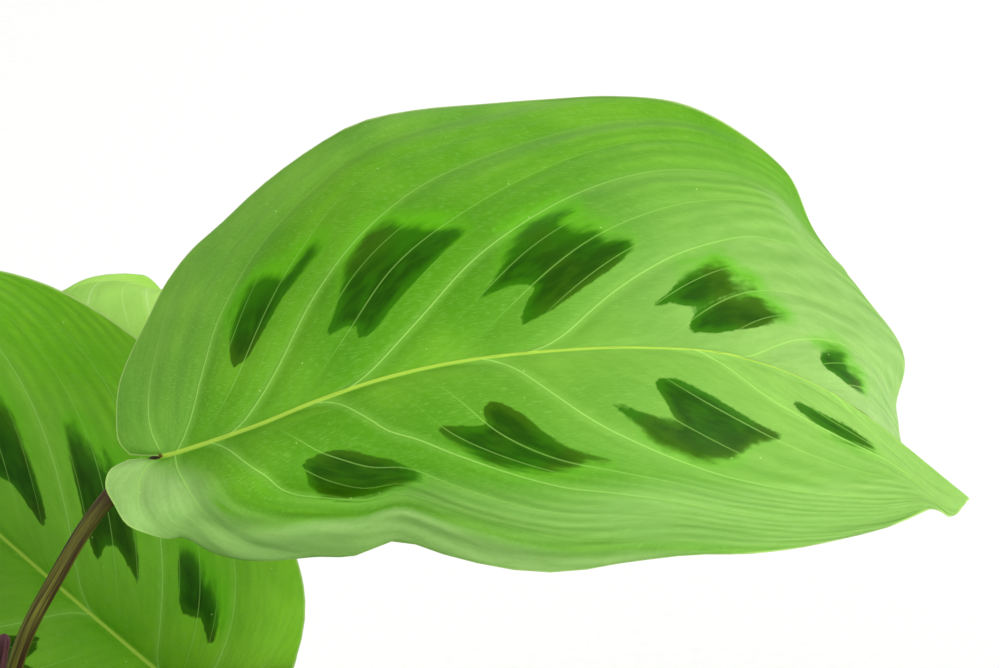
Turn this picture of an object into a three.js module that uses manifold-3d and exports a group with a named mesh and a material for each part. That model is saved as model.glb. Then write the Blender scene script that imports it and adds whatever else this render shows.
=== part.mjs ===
// A potted prayer plant (maranta): a low clump of arching, blotched leaves on thin
// sheathed stalks, growing from a mounded bed of soil in a plain round pot.
//
// Millimetres, +Z up. The origin is the centre of the pot's flat underside.
//
// A leaf blade is a thin curved sheet. Every blade, the large front one that is
// drawn from its own outline and the others that follow one common outline, is laid
// out along its side veins: a place on it is its side of the midrib, its vein number
// (0 at the notch by the stalk, 8 at the tip) and its share of the way from the
// midrib to the margin. In a blade's own frame +X runs from the stalk to the tip,
// +Y to its left side, and +Z out of its upper face.

import * as THREE from 'three';
import { mergeVertices } from 'three/addons/utils/BufferGeometryUtils.js';
import Module from 'manifold-3d';

// ---- driving dimensions -------------------------------------------------------

const GAP = 0.3; // air between pieces that touch
const POT = { topRadius: 65, baseRadius: 47, height: 108, wall: 4.5, floor: 6 };
const POT_RIM = { height: 20, overhang: 3.5, rounding: 1.5 };
const DRAIN = { count: 4, radius: 4, ringRadius: 24 };
const HOLE_SIDES = 16;
const SOIL = { edgeHeight: 96, mound: 4, lump: 0.8 };
const POT_SEGMENTS = 40;
const SOIL_SEGMENTS = 30;

const BLADE_THICKNESS = 0.8;
const VEINS = 8; // side veins on each side, counting the notch edge and the tip
const FRONT_TILT = THREE.MathUtils.degToRad(65); // the front blade stands up on its side

const STEM = { footRadius: 4.6, topRadius: 3.4, sunk: 12, rise: 14, sides: 10 };
const STALK = {
  sheathRadius: 2.3,
  radius: 1.3,
  jointRadius: 1.5,
  tipRadius: 1.2,
  sheathShare: 0.45, // the sheath tapers out along this share of the stalk
  jointShare: 0.9, // where along the stalk its swollen joint begins
  inset: 1.2, // how far past the insertion point it ends under the blade
  sides: 6,
  rings: 9,
};
// How a stalk runs, with its reach as the distance from its foot to its end.
const STALK_RUN = {
  firstLevel: 2, // height on the stem at which a shoot's first stalk leaves
  levelStep: 2.5, // each further stalk leaves this much higher
  lean: 0.12, // share of the way out that it covers while it climbs
  climb: 0.42, // share of its reach that it climbs first
  overrun: 0.12, // share of its reach that it swings out behind the blade
  dip: 5, // how far below the blade it comes in, with dipShare of its reach added
  dipShare: 0.2,
};

const FINISHES = {
  pot: { color: 0xb4633f, roughness: 0.85 },
  soil: { color: 0x35261b, roughness: 1 },
  stalk: { color: 0x5b5a22, roughness: 0.6 },
  leaf: { color: 0x69a83a, roughness: 0.45 },
  youngLeaf: { color: 0xa6d764, roughness: 0.45 },
};

// ---- the front blade, point by point --------------------------------------------

// The midrib from the stalk to the tip, and both margins from the notch to the tip.
const FRONT_MIDRIB = [
  [0, 0, 0], [2, 0.5, 1], [5, 1.5, 2.5], [9.5, 3, 4.5], [16.5, 5.5, 7], [25, 9, 9], [35.5, 12.5, 10.5],
  [47, 15, 11], [60, 16.5, 11], [74.5, 17, 9], [89.5, 15.5, 4], [106.5, 8.5, -6], [129.5, -8, -26],
];
const FRONT_UPPER_MARGIN = [
  [-5, 0.2, -3], [-7, 2.5, -4], [-7.5, 6.5, -6], [-7.5, 11, -9], [-6, 16, -12], [-3.5, 21.5, -14],
  [-1, 27, -16], [3, 32.5, -17], [8, 37, -17.5], [14.5, 43, -17.5], [22, 48.5, -17], [30, 53, -16.5],
  [39, 55, -16.5], [49.5, 56, -17], [60, 57, -18], [70.5, 57.5, -19.5], [82, 56.5, -21.5],
  [92, 52, -24.5], [100, 45.5, -28], [105, 36, -31], [113, 26, -33.5], [120, 16, -35], [119, 6.5, -35],
  [121, -2, -33], [129.5, -8, -26],
];
const FRONT_LOWER_MARGIN = [
  [-5, -0.5, 0], [-7.5, -2, 2], [-8, -4.5, 3], [-6.5, -7, 4.5], [-4.5, -10, 5.5], [-1.5, -11.5, 5],
  [1.5, -12.5, 3], [4, -12.5, 1], [8.5, -15, -1], [13.5, -16, -1], [19, -16, 0], [24.5, -15.5, 1],
  [30.5, -15, 3], [37, -12.5, 6], [44.5, -14.5, 8], [53.5, -16.5, 9.5], [62.5, -17, 10.5],
  [72, -15.5, 10.5], [81.5, -14.5, 9], [91.5, -14.5, 6], [101.5, -13.5, 2], [113, -11.5, -6],
  [121.5, -9, -15], [126, -10.5, -21], [129.5, -8, -26],
];
// How far each half bulges up between midrib and margin, from the stalk to the tip.
const FRONT_UPPER_BULGE = [0, 1, 2.5, 4, 5, 5.5, 6, 6, 5.5, 4.5, 3, 1.5, 0];
const FRONT_LOWER_BULGE = [0, 0.5, 1.5, 4, 8, 8, 7.5, 7, 6, 4.5, 3, 1.5, 0];

// Where each vein leaves the midrib and reaches the margin, as shares of their rows.
const FRONT_UPPER_VEINS = {
  roots: [0, 0.02, 0.11, 0.29, 0.475, 0.675, 0.845, 0.935, 1],
  ends: [0, 0.27, 0.57, 0.72, 0.8, 0.86, 0.91, 0.955, 1],
  straightness: 0.5,
};
const FRONT_LOWER_VEINS = {
  roots: [0, 0.02, 0.1, 0.25, 0.433, 0.623, 0.81, 0.915, 1],
  ends: [0, 0.25, 0.47, 0.69, 0.85, 0.92, 0.96, 0.985, 1],
  straightness: 0.6,
};
const FRONT_PLEAT = 0.35; // each side vein lies this deep in the blade at the margin
const FRONT_PLEAT_FADE = { notch: 1, tip: 2 }; // over this many veins it rises to that depth
const FRONT_STEPS = { veins: 24, out: 6 };

// ---- the common blade ------------------------------------------------------------

// Half of its outline, from the notch round the lobe to the tip, for a length of 1.
const HALF_OUTLINE = [
  [-0.06, 0.014], [-0.085, 0.1], [-0.035, 0.21], [0.12, 0.29], [0.34, 0.325], [0.58, 0.3],
  [0.8, 0.21], [0.94, 0.09], [1, 0],
];
const COMMON_VEINS = {
  roots: [0, 0.02, 0.105, 0.27, 0.455, 0.65, 0.83, 0.925, 1],
  ends: [0, 0.26, 0.52, 0.7, 0.83, 0.89, 0.935, 0.97, 1],
  straightness: 0.55,
};
const MIDRIB_STEPS = 12;
const MIDRIB_CROWDING = 1.8; // the veins stand closer together towards the stalk
const BULGE_SHARE = 0.045; // bulge of each half, as a share of the length
const FOLD = THREE.MathUtils.degToRad(9); // each half rises from the midrib
const MARGIN_WAVE = { count: 2.5, share: 0.022 };
const HALF_DIFFERENCE = 0.05; // one half is up to this share broader, and the other narrower
const COMMON_STEPS = { veins: 10, out: 3 };

// ---- leaves ----------------------------------------------------------------------

// Shoots: where each one stands on the soil, as an azimuth in degrees and a radius.
const SHOOTS = [
  { azimuth: 250, radius: 9 },
  { azimuth: 30, radius: 27 },
  { azimuth: 95, radius: 30 },
  { azimuth: 165, radius: 27 },
  { azimuth: 225, radius: 29 },
  { azimuth: 318, radius: 22 },
];
const FRONT_SHOOT = 0;
const FRONT_INSERTION = [30, 0, 225];
// The front stalk passes these points on its way up from the shoot to the blade.
const FRONT_STALK = [
  [-3.2, -8.5, 108], [-2, -9, 135], [1.5, -8.5, 165], [6, -6.1, 190.7], [13.6, -2.2, 206],
  [21.7, 0.9, 217.5],
];
const FRONT_STALK_RINGS = 20;
// The purple sheath of the next leaf, still rolled to a point beside that stalk.
const BUD = {
  path: [[-3.4, -8, 120], [-3.5, -5, 150], [-1, -2.5, 175], [3.9, -1, 193.8]],
  radius: 3.1,
  tipRadius: 1.1,
  rings: 12,
};

// Leaves placed one by one: insertion point, heading, rise and roll of the blade in
// degrees, its length, how far its midrib droops, and its shoot.
const PLACED_LEAVES = [
  {
    name: 'back_left_large', at: [31.5, 25.5, 163.2],
    heading: 144, rise: 21, roll: -55, length: 123.8, breadth: 1.13, droop: 12.4, shoot: 1,
  },
  {
    name: 'back_young', at: [6.8, 56, 164],
    heading: 80, rise: 68, roll: 0, length: 93.3, droop: 95, shoot: 2, young: true,
  },
  {
    name: 'upper_left', at: [-18, -2, 196],
    heading: 184, rise: 20, roll: -6, length: 100, droop: 42, shoot: 3,
  },
  {
    name: 'upper_front_left', at: [-13, -20, 184],
    heading: 236, rise: 22, roll: 5, length: 104, droop: 48, shoot: 4,
  },
  {
    name: 'upper_front', at: [8.5, -24, 174.5],
    heading: 287, rise: 24, roll: -4, length: 104, droop: 52, shoot: 5,
  },
  {
    name: 'upper_right', at: [24, -8, 165],
    heading: 346, rise: 16, roll: 0, length: 104, droop: 42, shoot: 5,
  },
  {
    name: 'back_right', at: [41, 64, 182],
    heading: 34, rise: 14, roll: -6, length: 104, droop: 40, shoot: 1,
  },
  {
    name: 'back', at: [-15, 62, 147],
    heading: 103, rise: 26, roll: 4, length: 102, droop: 52, shoot: 2,
  },
  {
    name: 'back_left', at: [-44, 40, 142],
    heading: 152, rise: 14, roll: 0, length: 98, droop: 48, shoot: 3,
  },
];

// Two shingled rings of lower leaves that arch out over the rim.
const RINGS = [
  {
    name: 'middle', azimuths: [182, 223, 262, 311, 358],
    radius: 40, height: 143, length: 104, rise: 28, droop: 62,
  },
  {
    name: 'low', azimuths: [0, 46, 84, 128, 176, 224, 272, 318],
    radius: 54, height: 118, length: 102, rise: 22, droop: 64,
  },
];
const RING_STAGGER = 4; // neighbours stand this much higher and lower in turn
const JITTER = { heading: 5, rise: 4, roll: 6, droop: 8, length: 6 };

// ---- small helpers ---------------------------------------------------------------

const wasm = await Module();
wasm.setup();

const vector = ([x, y, z]) => new THREE.Vector3(x, y, z);
const radians = THREE.MathUtils.degToRad;

/** A repeatable value between -1 and 1 for a whole number. */
function jitter(seed) {
  const value = Math.sin(seed * 12.9898) * 43758.5453;
  return 2 * (value - Math.floor(value)) - 1;
}

/** A smooth curve through a row of points, read by its share of the row. */
function smoothRow(points) {
  return new THREE.CatmullRomCurve3(points, false, 'catmullrom', 0.5);
}

/** Reads a rising row of values at a fractional index, without overshoot. */
function smoothStepRow(values, index) {
  const last = values.length - 1;
  const slope = (i) => {
    if (i <= 0) return values[1] - values[0];
    if (i >= last) return values[last] - values[last - 1];
    const before = values[i] - values[i - 1];
    const after = values[i + 1] - values[i];
    return before * after > 0 ? (2 * before * after) / (before + after) : 0;
  };
  const i = Math.min(Math.floor(index), last - 1);
  const t = index - i;
  return values[i] * (1 + 2 * t) * (1 - t) ** 2
    + slope(i) * t * (1 - t) ** 2
    + values[i + 1] * t * t * (3 - 2 * t)
    + slope(i + 1) * t * t * (t - 1);
}

/** Turns a closed geometry into a solid that can be joined and cut. */
function toSolid(geometry) {
  const bare = geometry.clone();
  bare.deleteAttribute('normal');
  bare.deleteAttribute('uv');
  const merged = mergeVertices(bare, 1e-4);
  const vertProperties = new Float32Array(merged.getAttribute('position').array);
  const triVerts = new Uint32Array(merged.getIndex().array);
  return new wasm.Manifold(new wasm.Mesh({ numProp: 3, vertProperties, triVerts }));
}

/** Turns a solid back into a geometry. */
function toGeometry(solid) {
  const mesh = solid.getMesh();
  const geometry = new THREE.BufferGeometry();
  geometry.setAttribute('position', new THREE.BufferAttribute(mesh.vertProperties, 3));
  geometry.setIndex(new THREE.BufferAttribute(mesh.triVerts, 1));
  geometry.computeVertexNormals();
  return geometry;
}

/** A geometry from points and triangles of point numbers. */
function geometryFrom(points, triangles) {
  const geometry = new THREE.BufferGeometry();
  geometry.setFromPoints(points);
  geometry.setIndex(triangles);
  geometry.computeVertexNormals();
  return geometry;
}

/** A closed round rod along a curve, whose radius changes on the way. */
function taperedRod(curve, radiusAt, rings, sides) {
  const frames = curve.computeFrenetFrames(rings, false);
  const points = [];
  const triangles = [];
  for (let ring = 0; ring <= rings; ring += 1) {
    const share = ring / rings;
    const centre = curve.getPointAt(share);
    const radius = radiusAt(share);
    for (let side = 0; side < sides; side += 1) {
      const angle = (2 * Math.PI * side) / sides;
      const point = centre.clone();
      point.addScaledVector(frames.normals[ring], radius * Math.cos(angle));
      point.addScaledVector(frames.binormals[ring], radius * Math.sin(angle));
      points.push(point);
    }
  }
  for (let ring = 0; ring < rings; ring += 1) {
    for (let side = 0; side < sides; side += 1) {
      const a = ring * sides + side;
      const b = ring * sides + ((side + 1) % sides);
      triangles.push(a, b, b + sides, a, b + sides, a + sides);
    }
  }
  const start = points.push(curve.getPointAt(0)) - 1;
  const end = points.push(curve.getPointAt(1)) - 1;
  for (let side = 0; side < sides; side += 1) {
    const next = (side + 1) % sides;
    triangles.push(start, next, side);
    triangles.push(end, rings * sides + side, rings * sides + next);
  }
  return geometryFrom(points, triangles);
}

// ---- blades ----------------------------------------------------------------------

/** The middle surface of a blade, read by side, vein number and share of the way out. */
class BladeForm {
  /**
   * @param midrib curve from the stalk to the tip
   * @param sides for +1 (left) and -1 (right): margin curve, bulge(share) and veins
   * @param upAt direction out of the upper face at a share of the midrib
   * @param wave lift of the margin at a side and vein number
   */
  constructor({ midrib, sides, upAt, wave }) {
    this.midrib = midrib;
    this.sides = sides;
    this.upAt = upAt;
    this.wave = wave;
  }

  point(side, vein, out) {
    const { margin, bulge, veins } = this.sides[side];
    const root = smoothStepRow(veins.roots, vein);
    const end = smoothStepRow(veins.ends, vein);
    const sweep = veins.straightness * out + (1 - veins.straightness) * out ** 4;
    const share = THREE.MathUtils.clamp(root + (end - root) * sweep, 0, 1);
    const point = this.midrib.getPoint(share).lerp(margin.getPoint(share), out);
    const lift = bulge(share) * 4 * out * (1 - out) + this.wave(side, vein) * out * out;
    return point.addScaledVector(this.upAt(share), lift);
  }
}

/** The form of the front blade. */
function frontForm() {
  const bulgeOf = (values) => {
    const row = smoothRow(values.map((value) => new THREE.Vector3(value, 0, 0)));
    return (share) => row.getPoint(share).x;
  };
  const up = new THREE.Vector3(0, 0, 1);
  return new BladeForm({
    midrib: smoothRow(FRONT_MIDRIB.map(vector)),
    sides: {
      [1]: {
        margin: smoothRow(FRONT_UPPER_MARGIN.map(vector)),
        bulge: bulgeOf(FRONT_UPPER_BULGE),
        veins: FRONT_UPPER_VEINS,
      },
      [-1]: {
        margin: smoothRow(FRONT_LOWER_MARGIN.map(vector)),
        bulge: bulgeOf(FRONT_LOWER_BULGE),
        veins: FRONT_LOWER_VEINS,
      },
    },
    upAt: () => up,
    wave: (side, vein) => {
      const { notch, tip } = FRONT_PLEAT_FADE;
      const depth = FRONT_PLEAT * Math.min(1, vein / notch, (VEINS - vein) / tip);
      return -depth * Math.cos(2 * Math.PI * vein);
    },
  });
}

/** The form of a common blade of one length, drooping along its midrib. */
function commonForm({ length, droop, seed, breadth = 1 }) {
  const bend = radians(droop);
  const arc = length / bend;
  const upAlong = (x) => {
    const turned = (bend * x) / length;
    return new THREE.Vector3(Math.sin(turned), 0, Math.cos(turned));
  };
  const bent = (x, y) => {
    const up = upAlong(x);
    const place = new THREE.Vector3(arc * up.x, 0, arc * (up.z - 1));
    place.addScaledVector(up, Math.abs(y) * Math.sin(FOLD));
    place.y = y * Math.cos(FOLD);
    return place;
  };
  const midrib = [];
  for (let step = 0; step <= MIDRIB_STEPS; step += 1) {
    midrib.push(bent(length * (step / MIDRIB_STEPS) ** MIDRIB_CROWDING, 0));
  }
  const half = (side) => {
    const broad = side * length * breadth * (1 + HALF_DIFFERENCE * side * jitter(seed + 0.5));
    return {
      margin: smoothRow(HALF_OUTLINE.map(([x, y]) => bent(x * length, y * broad))),
      bulge: (share) => BULGE_SHARE * length * Math.sin(Math.PI * share),
      veins: COMMON_VEINS,
    };
  };
  const phase = Math.PI * jitter(seed + 0.25);
  return new BladeForm({
    midrib: smoothRow(midrib),
    sides: { [1]: half(1), [-1]: half(-1) },
    upAt: (share) => upAlong(length * share ** MIDRIB_CROWDING),
    wave: (side, vein) => {
      const turn = (2 * Math.PI * MARGIN_WAVE.count * vein) / VEINS + phase + side;
      return MARGIN_WAVE.share * length * Math.sin(turn) * Math.sin((Math.PI * vein) / VEINS);
    },
  });
}

/** A blade's closed sheet: the same triangles on both faces, and a wall round the margin. */
function bladeGeometry(form, { veins: veinSteps, out: outSteps }) {
  const middle = [];
  const numbers = { [1]: [], [-1]: [] };
  for (const side of [1, -1]) {
    for (let i = 0; i <= veinSteps; i += 1) {
      const row = [];
      numbers[side].push(row);
      for (let j = 0; j <= outSteps; j += 1) {
        const onMidrib = j === 0 && side === -1;
        const atTip = i === veinSteps && j > 0;
        if (onMidrib || atTip) {
          row.push(numbers[1][i][0]);
        } else {
          middle.push(form.point(side, (VEINS * i) / veinSteps, j / outSteps));
          row.push(middle.length - 1);
        }
      }
    }
  }
  const faces = [];
  const addFace = (a, b, c) => {
    if (a !== b && b !== c && c !== a) faces.push([a, b, c]);
  };
  for (const side of [1, -1]) {
    for (let i = 0; i < veinSteps; i += 1) {
      for (let j = 0; j < outSteps; j += 1) {
        const near = numbers[side][i];
        const far = numbers[side][i + 1];
        if (side === 1) {
          addFace(near[j], far[j], near[j + 1]);
          addFace(far[j], far[j + 1], near[j + 1]);
        } else {
          addFace(near[j], near[j + 1], far[j]);
          addFace(far[j], near[j + 1], far[j + 1]);
        }
      }
    }
  }
  const normals = middle.map(() => new THREE.Vector3());
  for (const [a, b, c] of faces) {
    const along = middle[b].clone().sub(middle[a]);
    const across = middle[c].clone().sub(middle[a]);
    const normal = along.cross(across);
    for (const number of [a, b, c]) normals[number].add(normal);
  }
  normals.forEach((normal) => normal.normalize());
  const half = BLADE_THICKNESS / 2;
  const upper = middle.map((point, number) => point.clone().addScaledVector(normals[number], half));
  const lower = middle.map((point, number) => point.clone().addScaledVector(normals[number], -half));
  const count = middle.length;
  const triangles = [];
  for (const [a, b, c] of faces) triangles.push(a, b, c, a + count, c + count, b + count);
  const rim = [];
  for (let j = 0; j < outSteps; j += 1) rim.push(numbers[-1][0][j]);
  for (let i = 0; i < veinSteps; i += 1) rim.push(numbers[-1][i][outSteps]);
  for (let i = veinSteps; i > 0; i -= 1) rim.push(numbers[1][i][outSteps]);
  for (let j = outSteps; j > 0; j -= 1) rim.push(numbers[1][0][j]);
  rim.forEach((a, index) => {
    const b = rim[(index + 1) % rim.length];
    triangles.push(a + count, b + count, b, a + count, b, a);
  });
  return geometryFrom([...upper, ...lower], triangles);
}

/** A mesh with its own plain material. */
function part(name, geometry, finish) {
  const material = new THREE.MeshStandardMaterial({ ...finish, metalness: 0 });
  const mesh = new THREE.Mesh(geometry, material);
  mesh.name = name;
  return mesh;
}

/** Places a blade at its insertion point and turns it by heading, rise and roll. */
function placeBlade(mesh, { at, heading, rise, roll }) {
  mesh.rotation.order = 'ZYX';
  mesh.rotation.set(radians(roll), -radians(rise), radians(heading));
  mesh.position.copy(vector(at));
  return mesh;
}

// ---- stalks and shoots -----------------------------------------------------------

/** Radius of a stalk on its way from the sheath to the joint under the blade. */
function stalkRadius(share) {
  if (share >= 1) return STALK.tipRadius;
  if (share >= STALK.jointShare) return STALK.jointRadius;
  const sheathed = Math.max(0, 1 - share / STALK.sheathShare) ** 1.5;
  return STALK.radius + (STALK.sheathRadius - STALK.radius) * sheathed;
}

/** Height of the soil's surface at a radius from the middle. */
function soilHeight(radius) {
  const inner = POT.topRadius - POT.wall;
  return SOIL.edgeHeight + SOIL.mound * (1 - (radius / inner) ** 2);
}

/** Where a shoot stands on the soil. */
function shootFoot({ azimuth, radius }) {
  const angle = radians(azimuth);
  return new THREE.Vector3(radius * Math.cos(angle), radius * Math.sin(angle), soilHeight(radius));
}

/** The point under a blade where its stalk ends, just clear of the lower face. */
function stalkEnd(blade) {
  const below = BLADE_THICKNESS / 2 + GAP + STALK.jointRadius;
  blade.updateMatrixWorld();
  return new THREE.Vector3(STALK.inset, 0, -below).applyMatrix4(blade.matrixWorld);
}

/** A stalk that leaves its shoot upwards and comes in under the blade from behind. */
function stalkCurve(foot, level, blade) {
  const end = stalkEnd(blade);
  const along = new THREE.Vector3(1, 0, 0).transformDirection(blade.matrixWorld);
  const under = new THREE.Vector3(0, 0, -1).transformDirection(blade.matrixWorld);
  const start = foot.clone();
  start.z += level;
  const reach = start.distanceTo(end);
  const out = new THREE.Vector3(end.x - start.x, end.y - start.y, 0);
  const leave = start.clone().addScaledVector(out, STALK_RUN.lean);
  leave.z += STALK_RUN.climb * reach;
  const arrive = end.clone().addScaledVector(along, -STALK_RUN.overrun * reach);
  arrive.addScaledVector(under, STALK_RUN.dip + STALK_RUN.dipShare * reach);
  return new THREE.CubicBezierCurve3(start, leave, arrive, end);
}

/** The short upright stem of a shoot, sunk into its hole in the soil. */
function stemSolid(foot) {
  const low = foot.clone();
  low.z -= STEM.sunk - GAP;
  const high = foot.clone();
  high.z += STEM.rise;
  const radiusAt = (share) => STEM.footRadius + (STEM.topRadius - STEM.footRadius) * share;
  return toSolid(taperedRod(new THREE.LineCurve3(low, high), radiusAt, 3, STEM.sides));
}

/** A shoot: its stem, to which the stalks of its leaves are joined one by one. */
class Shoot {
  constructor(place) {
    this.foot = shootFoot(place);
    this.solid = stemSolid(this.foot);
    this.stalks = 0;
  }

  join(curve, radiusAt, rings) {
    this.solid = this.solid.add(toSolid(taperedRod(curve, radiusAt, rings, STALK.sides)));
  }

  growStalk(blade) {
    const level = STALK_RUN.firstLevel + STALK_RUN.levelStep * this.stalks;
    this.stalks += 1;
    this.join(stalkCurve(this.foot, level, blade), stalkRadius, STALK.rings);
  }
}

// ---- pot and soil ----------------------------------------------------------------

/** Inside radius of the pot's wall at a height. */
function innerRadius(height) {
  const share = height / POT.height;
  return POT.baseRadius + (POT.topRadius - POT.baseRadius) * share - POT.wall;
}

/** An upright round solid that is cut away where a hole goes. */
function roundHole(middle, radius, height) {
  const cylinder = new THREE.CylinderGeometry(radius, radius, height, HOLE_SIDES);
  cylinder.rotateX(Math.PI / 2);
  cylinder.translate(middle.x, middle.y, middle.z);
  return toSolid(cylinder);
}

/** A round tapered pot with a plain thick rim and drain holes beside its centre. */
function potGeometry() {
  const rimFoot = POT.height - POT_RIM.height;
  const bodyTop = POT.baseRadius + (POT.topRadius - POT.baseRadius) * (rimFoot / POT.height);
  const rimLow = bodyTop + POT_RIM.overhang;
  const rimTop = POT.topRadius + POT_RIM.overhang;
  const soften = POT_RIM.rounding;
  const profile = [
    [0, 0], [POT.baseRadius - soften, 0], [POT.baseRadius, soften],
    [bodyTop, rimFoot], [rimLow - soften, rimFoot], [rimLow, rimFoot + soften],
    [rimTop, POT.height - soften], [rimTop - soften, POT.height],
    [innerRadius(POT.height) + soften, POT.height], [innerRadius(POT.height), POT.height - soften],
    [innerRadius(POT.floor), POT.floor], [0, POT.floor],
  ].map(([radius, height]) => new THREE.Vector2(radius, height));
  const lathe = new THREE.LatheGeometry(profile, POT_SEGMENTS);
  lathe.rotateX(Math.PI / 2);
  let solid = toSolid(lathe);
  for (let hole = 0; hole < DRAIN.count; hole += 1) {
    const angle = (2 * Math.PI * (hole + 0.5)) / DRAIN.count;
    const [x, y] = [DRAIN.ringRadius * Math.cos(angle), DRAIN.ringRadius * Math.sin(angle)];
    const middle = new THREE.Vector3(x, y, POT.floor / 2);
    solid = solid.subtract(roundHole(middle, DRAIN.radius, 3 * POT.floor));
  }
  return toGeometry(solid);
}

/** Unevenness of the soil: lumps about 20 mm across, crossed by ridges 8 mm apart. */
function soilLump(x, y) {
  const lumps = Math.sin(0.31 * x + 1) * Math.cos(0.27 * y);
  const ridges = 0.6 * Math.sin(0.62 * y + 0.5 * x);
  return SOIL.lump * (lumps + ridges);
}

/** The soil: it fills the pot, rises a little to the middle and has a hole for each stem. */
function soilGeometry(feet) {
  const bottom = POT.floor + GAP;
  const surfaceRings = 6;
  const profile = [[0, bottom], [innerRadius(bottom) - GAP, bottom]];
  const edge = innerRadius(SOIL.edgeHeight) - GAP;
  for (let ring = surfaceRings; ring >= 0; ring -= 1) {
    const radius = (edge * ring) / surfaceRings;
    profile.push([radius, soilHeight(radius)]);
  }
  const outline = profile.map(([radius, height]) => new THREE.Vector2(radius, height));
  const lathe = new THREE.LatheGeometry(outline, SOIL_SEGMENTS);
  lathe.rotateX(Math.PI / 2);
  const position = lathe.getAttribute('position');
  for (let i = 0; i < position.count; i += 1) {
    const [x, y, z] = [position.getX(i), position.getY(i), position.getZ(i)];
    const inside = Math.hypot(x, y) < edge - 1 && z > SOIL.edgeHeight;
    if (inside) position.setZ(i, z + soilLump(x, y));
  }
  let solid = toSolid(lathe);
  for (const foot of feet) {
    solid = solid.subtract(roundHole(foot, STEM.footRadius + GAP, 2 * STEM.sunk));
  }
  return toGeometry(solid);
}

// ---- the plant -------------------------------------------------------------------

/** The leaves of both rings, with the small differences between neighbours. */
function ringLeaves() {
  const leaves = [];
  RINGS.forEach((ring, ringNumber) => {
    ring.azimuths.forEach((azimuth, index) => {
      const seed = 20 * (ringNumber + 1) + index;
      const angle = radians(azimuth);
      const height = ring.height + RING_STAGGER * (index % 2 ? -1 : 1);
      leaves.push({
        name: `${ring.name}_${index + 1}`,
        at: [ring.radius * Math.cos(angle), ring.radius * Math.sin(angle), height],
        heading: azimuth + JITTER.heading * jitter(seed),
        rise: ring.rise + JITTER.rise * jitter(seed + 0.1),
        roll: JITTER.roll * jitter(seed + 0.2),
        length: ring.length + JITTER.length * jitter(seed + 0.3),
        droop: ring.droop + JITTER.droop * jitter(seed + 0.4),
      });
    });
  });
  return leaves;
}

/** The outer shoot that stands nearest to a point. */
function nearestShoot(at, shoots) {
  const away = ({ foot }) => Math.hypot(at[0] - foot.x, at[1] - foot.y);
  const outer = shoots.slice(FRONT_SHOOT + 1);
  return outer.reduce((best, shoot) => (away(shoot) < away(best) ? shoot : best));
}

/** The front leaf's blade, with its stalk and the next leaf's sheath on one shoot. */
function frontLeaf(shoot) {
  const geometry = bladeGeometry(frontForm(), FRONT_STEPS);
  const blade = part('front_leaf_blade', geometry, FINISHES.leaf);
  blade.rotation.x = FRONT_TILT;
  blade.position.copy(vector(FRONT_INSERTION));
  const stalk = smoothRow([...FRONT_STALK.map(vector), stalkEnd(blade)]);
  shoot.join(stalk, stalkRadius, FRONT_STALK_RINGS);
  const budRadius = (share) => BUD.tipRadius + (BUD.radius - BUD.tipRadius) * (1 - share ** 3);
  shoot.join(smoothRow(BUD.path.map(vector)), budRadius, BUD.rings);
  return blade;
}

/** Another leaf's blade, with its stalk on one shoot. */
function commonLeaf(leaf, seed, shoot) {
  const geometry = bladeGeometry(commonForm({ ...leaf, seed }), COMMON_STEPS);
  const finish = leaf.young ? FINISHES.youngLeaf : FINISHES.leaf;
  const blade = placeBlade(part(`${leaf.name}_blade`, geometry, finish), leaf);
  shoot.growStalk(blade);
  return blade;
}

const plant = new THREE.Group();
const shoots = SHOOTS.map((place) => new Shoot(place));
plant.add(part('pot', potGeometry(), FINISHES.pot));
plant.add(part('soil', soilGeometry(shoots.map(({ foot }) => foot)), FINISHES.soil));
plant.add(frontLeaf(shoots[FRONT_SHOOT]));
[...PLACED_LEAVES, ...ringLeaves()].forEach((leaf, index) => {
  const shoot = shoots[leaf.shoot] ?? nearestShoot(leaf.at, shoots);
  plant.add(commonLeaf(leaf, index + 1, shoot));
});
shoots.forEach(({ solid }, index) => {
  plant.add(part(`shoot_${index + 1}_stalks`, toGeometry(solid), FINISHES.stalk));
});

export default plant;
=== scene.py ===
"""A potted prayer plant, dressed for its picture.

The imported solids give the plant's shape. Each of them is replaced here by a finer
piece of the same form: blades with their veins, pleats and blotches, stalks with
their sheaths and swollen joints, crumbly soil, and a clay pot with turning marks.
Lengths are millimetres until a mesh is made, and degrees are degrees.
"""

import logging
import math
from collections.abc import Callable, Iterable, Mapping, Sequence
from dataclasses import dataclass
from enum import Enum
from functools import partial

import bmesh
import bpy
import numpy as np
from mathutils import Euler, Matrix, Vector


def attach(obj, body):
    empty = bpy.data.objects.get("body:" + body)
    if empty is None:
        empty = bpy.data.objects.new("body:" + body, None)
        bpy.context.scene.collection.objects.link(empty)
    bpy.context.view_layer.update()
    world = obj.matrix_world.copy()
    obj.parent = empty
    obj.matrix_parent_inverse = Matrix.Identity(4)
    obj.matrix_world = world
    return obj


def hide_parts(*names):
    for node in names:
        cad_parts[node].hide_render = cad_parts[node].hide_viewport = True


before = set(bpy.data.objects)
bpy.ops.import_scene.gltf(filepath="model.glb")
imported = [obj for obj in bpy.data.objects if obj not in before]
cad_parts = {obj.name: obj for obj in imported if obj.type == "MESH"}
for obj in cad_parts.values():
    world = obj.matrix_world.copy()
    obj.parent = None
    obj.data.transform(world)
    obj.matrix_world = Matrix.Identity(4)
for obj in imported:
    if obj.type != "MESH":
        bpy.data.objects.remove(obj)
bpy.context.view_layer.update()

log = logging.getLogger("prayer plant")

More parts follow.
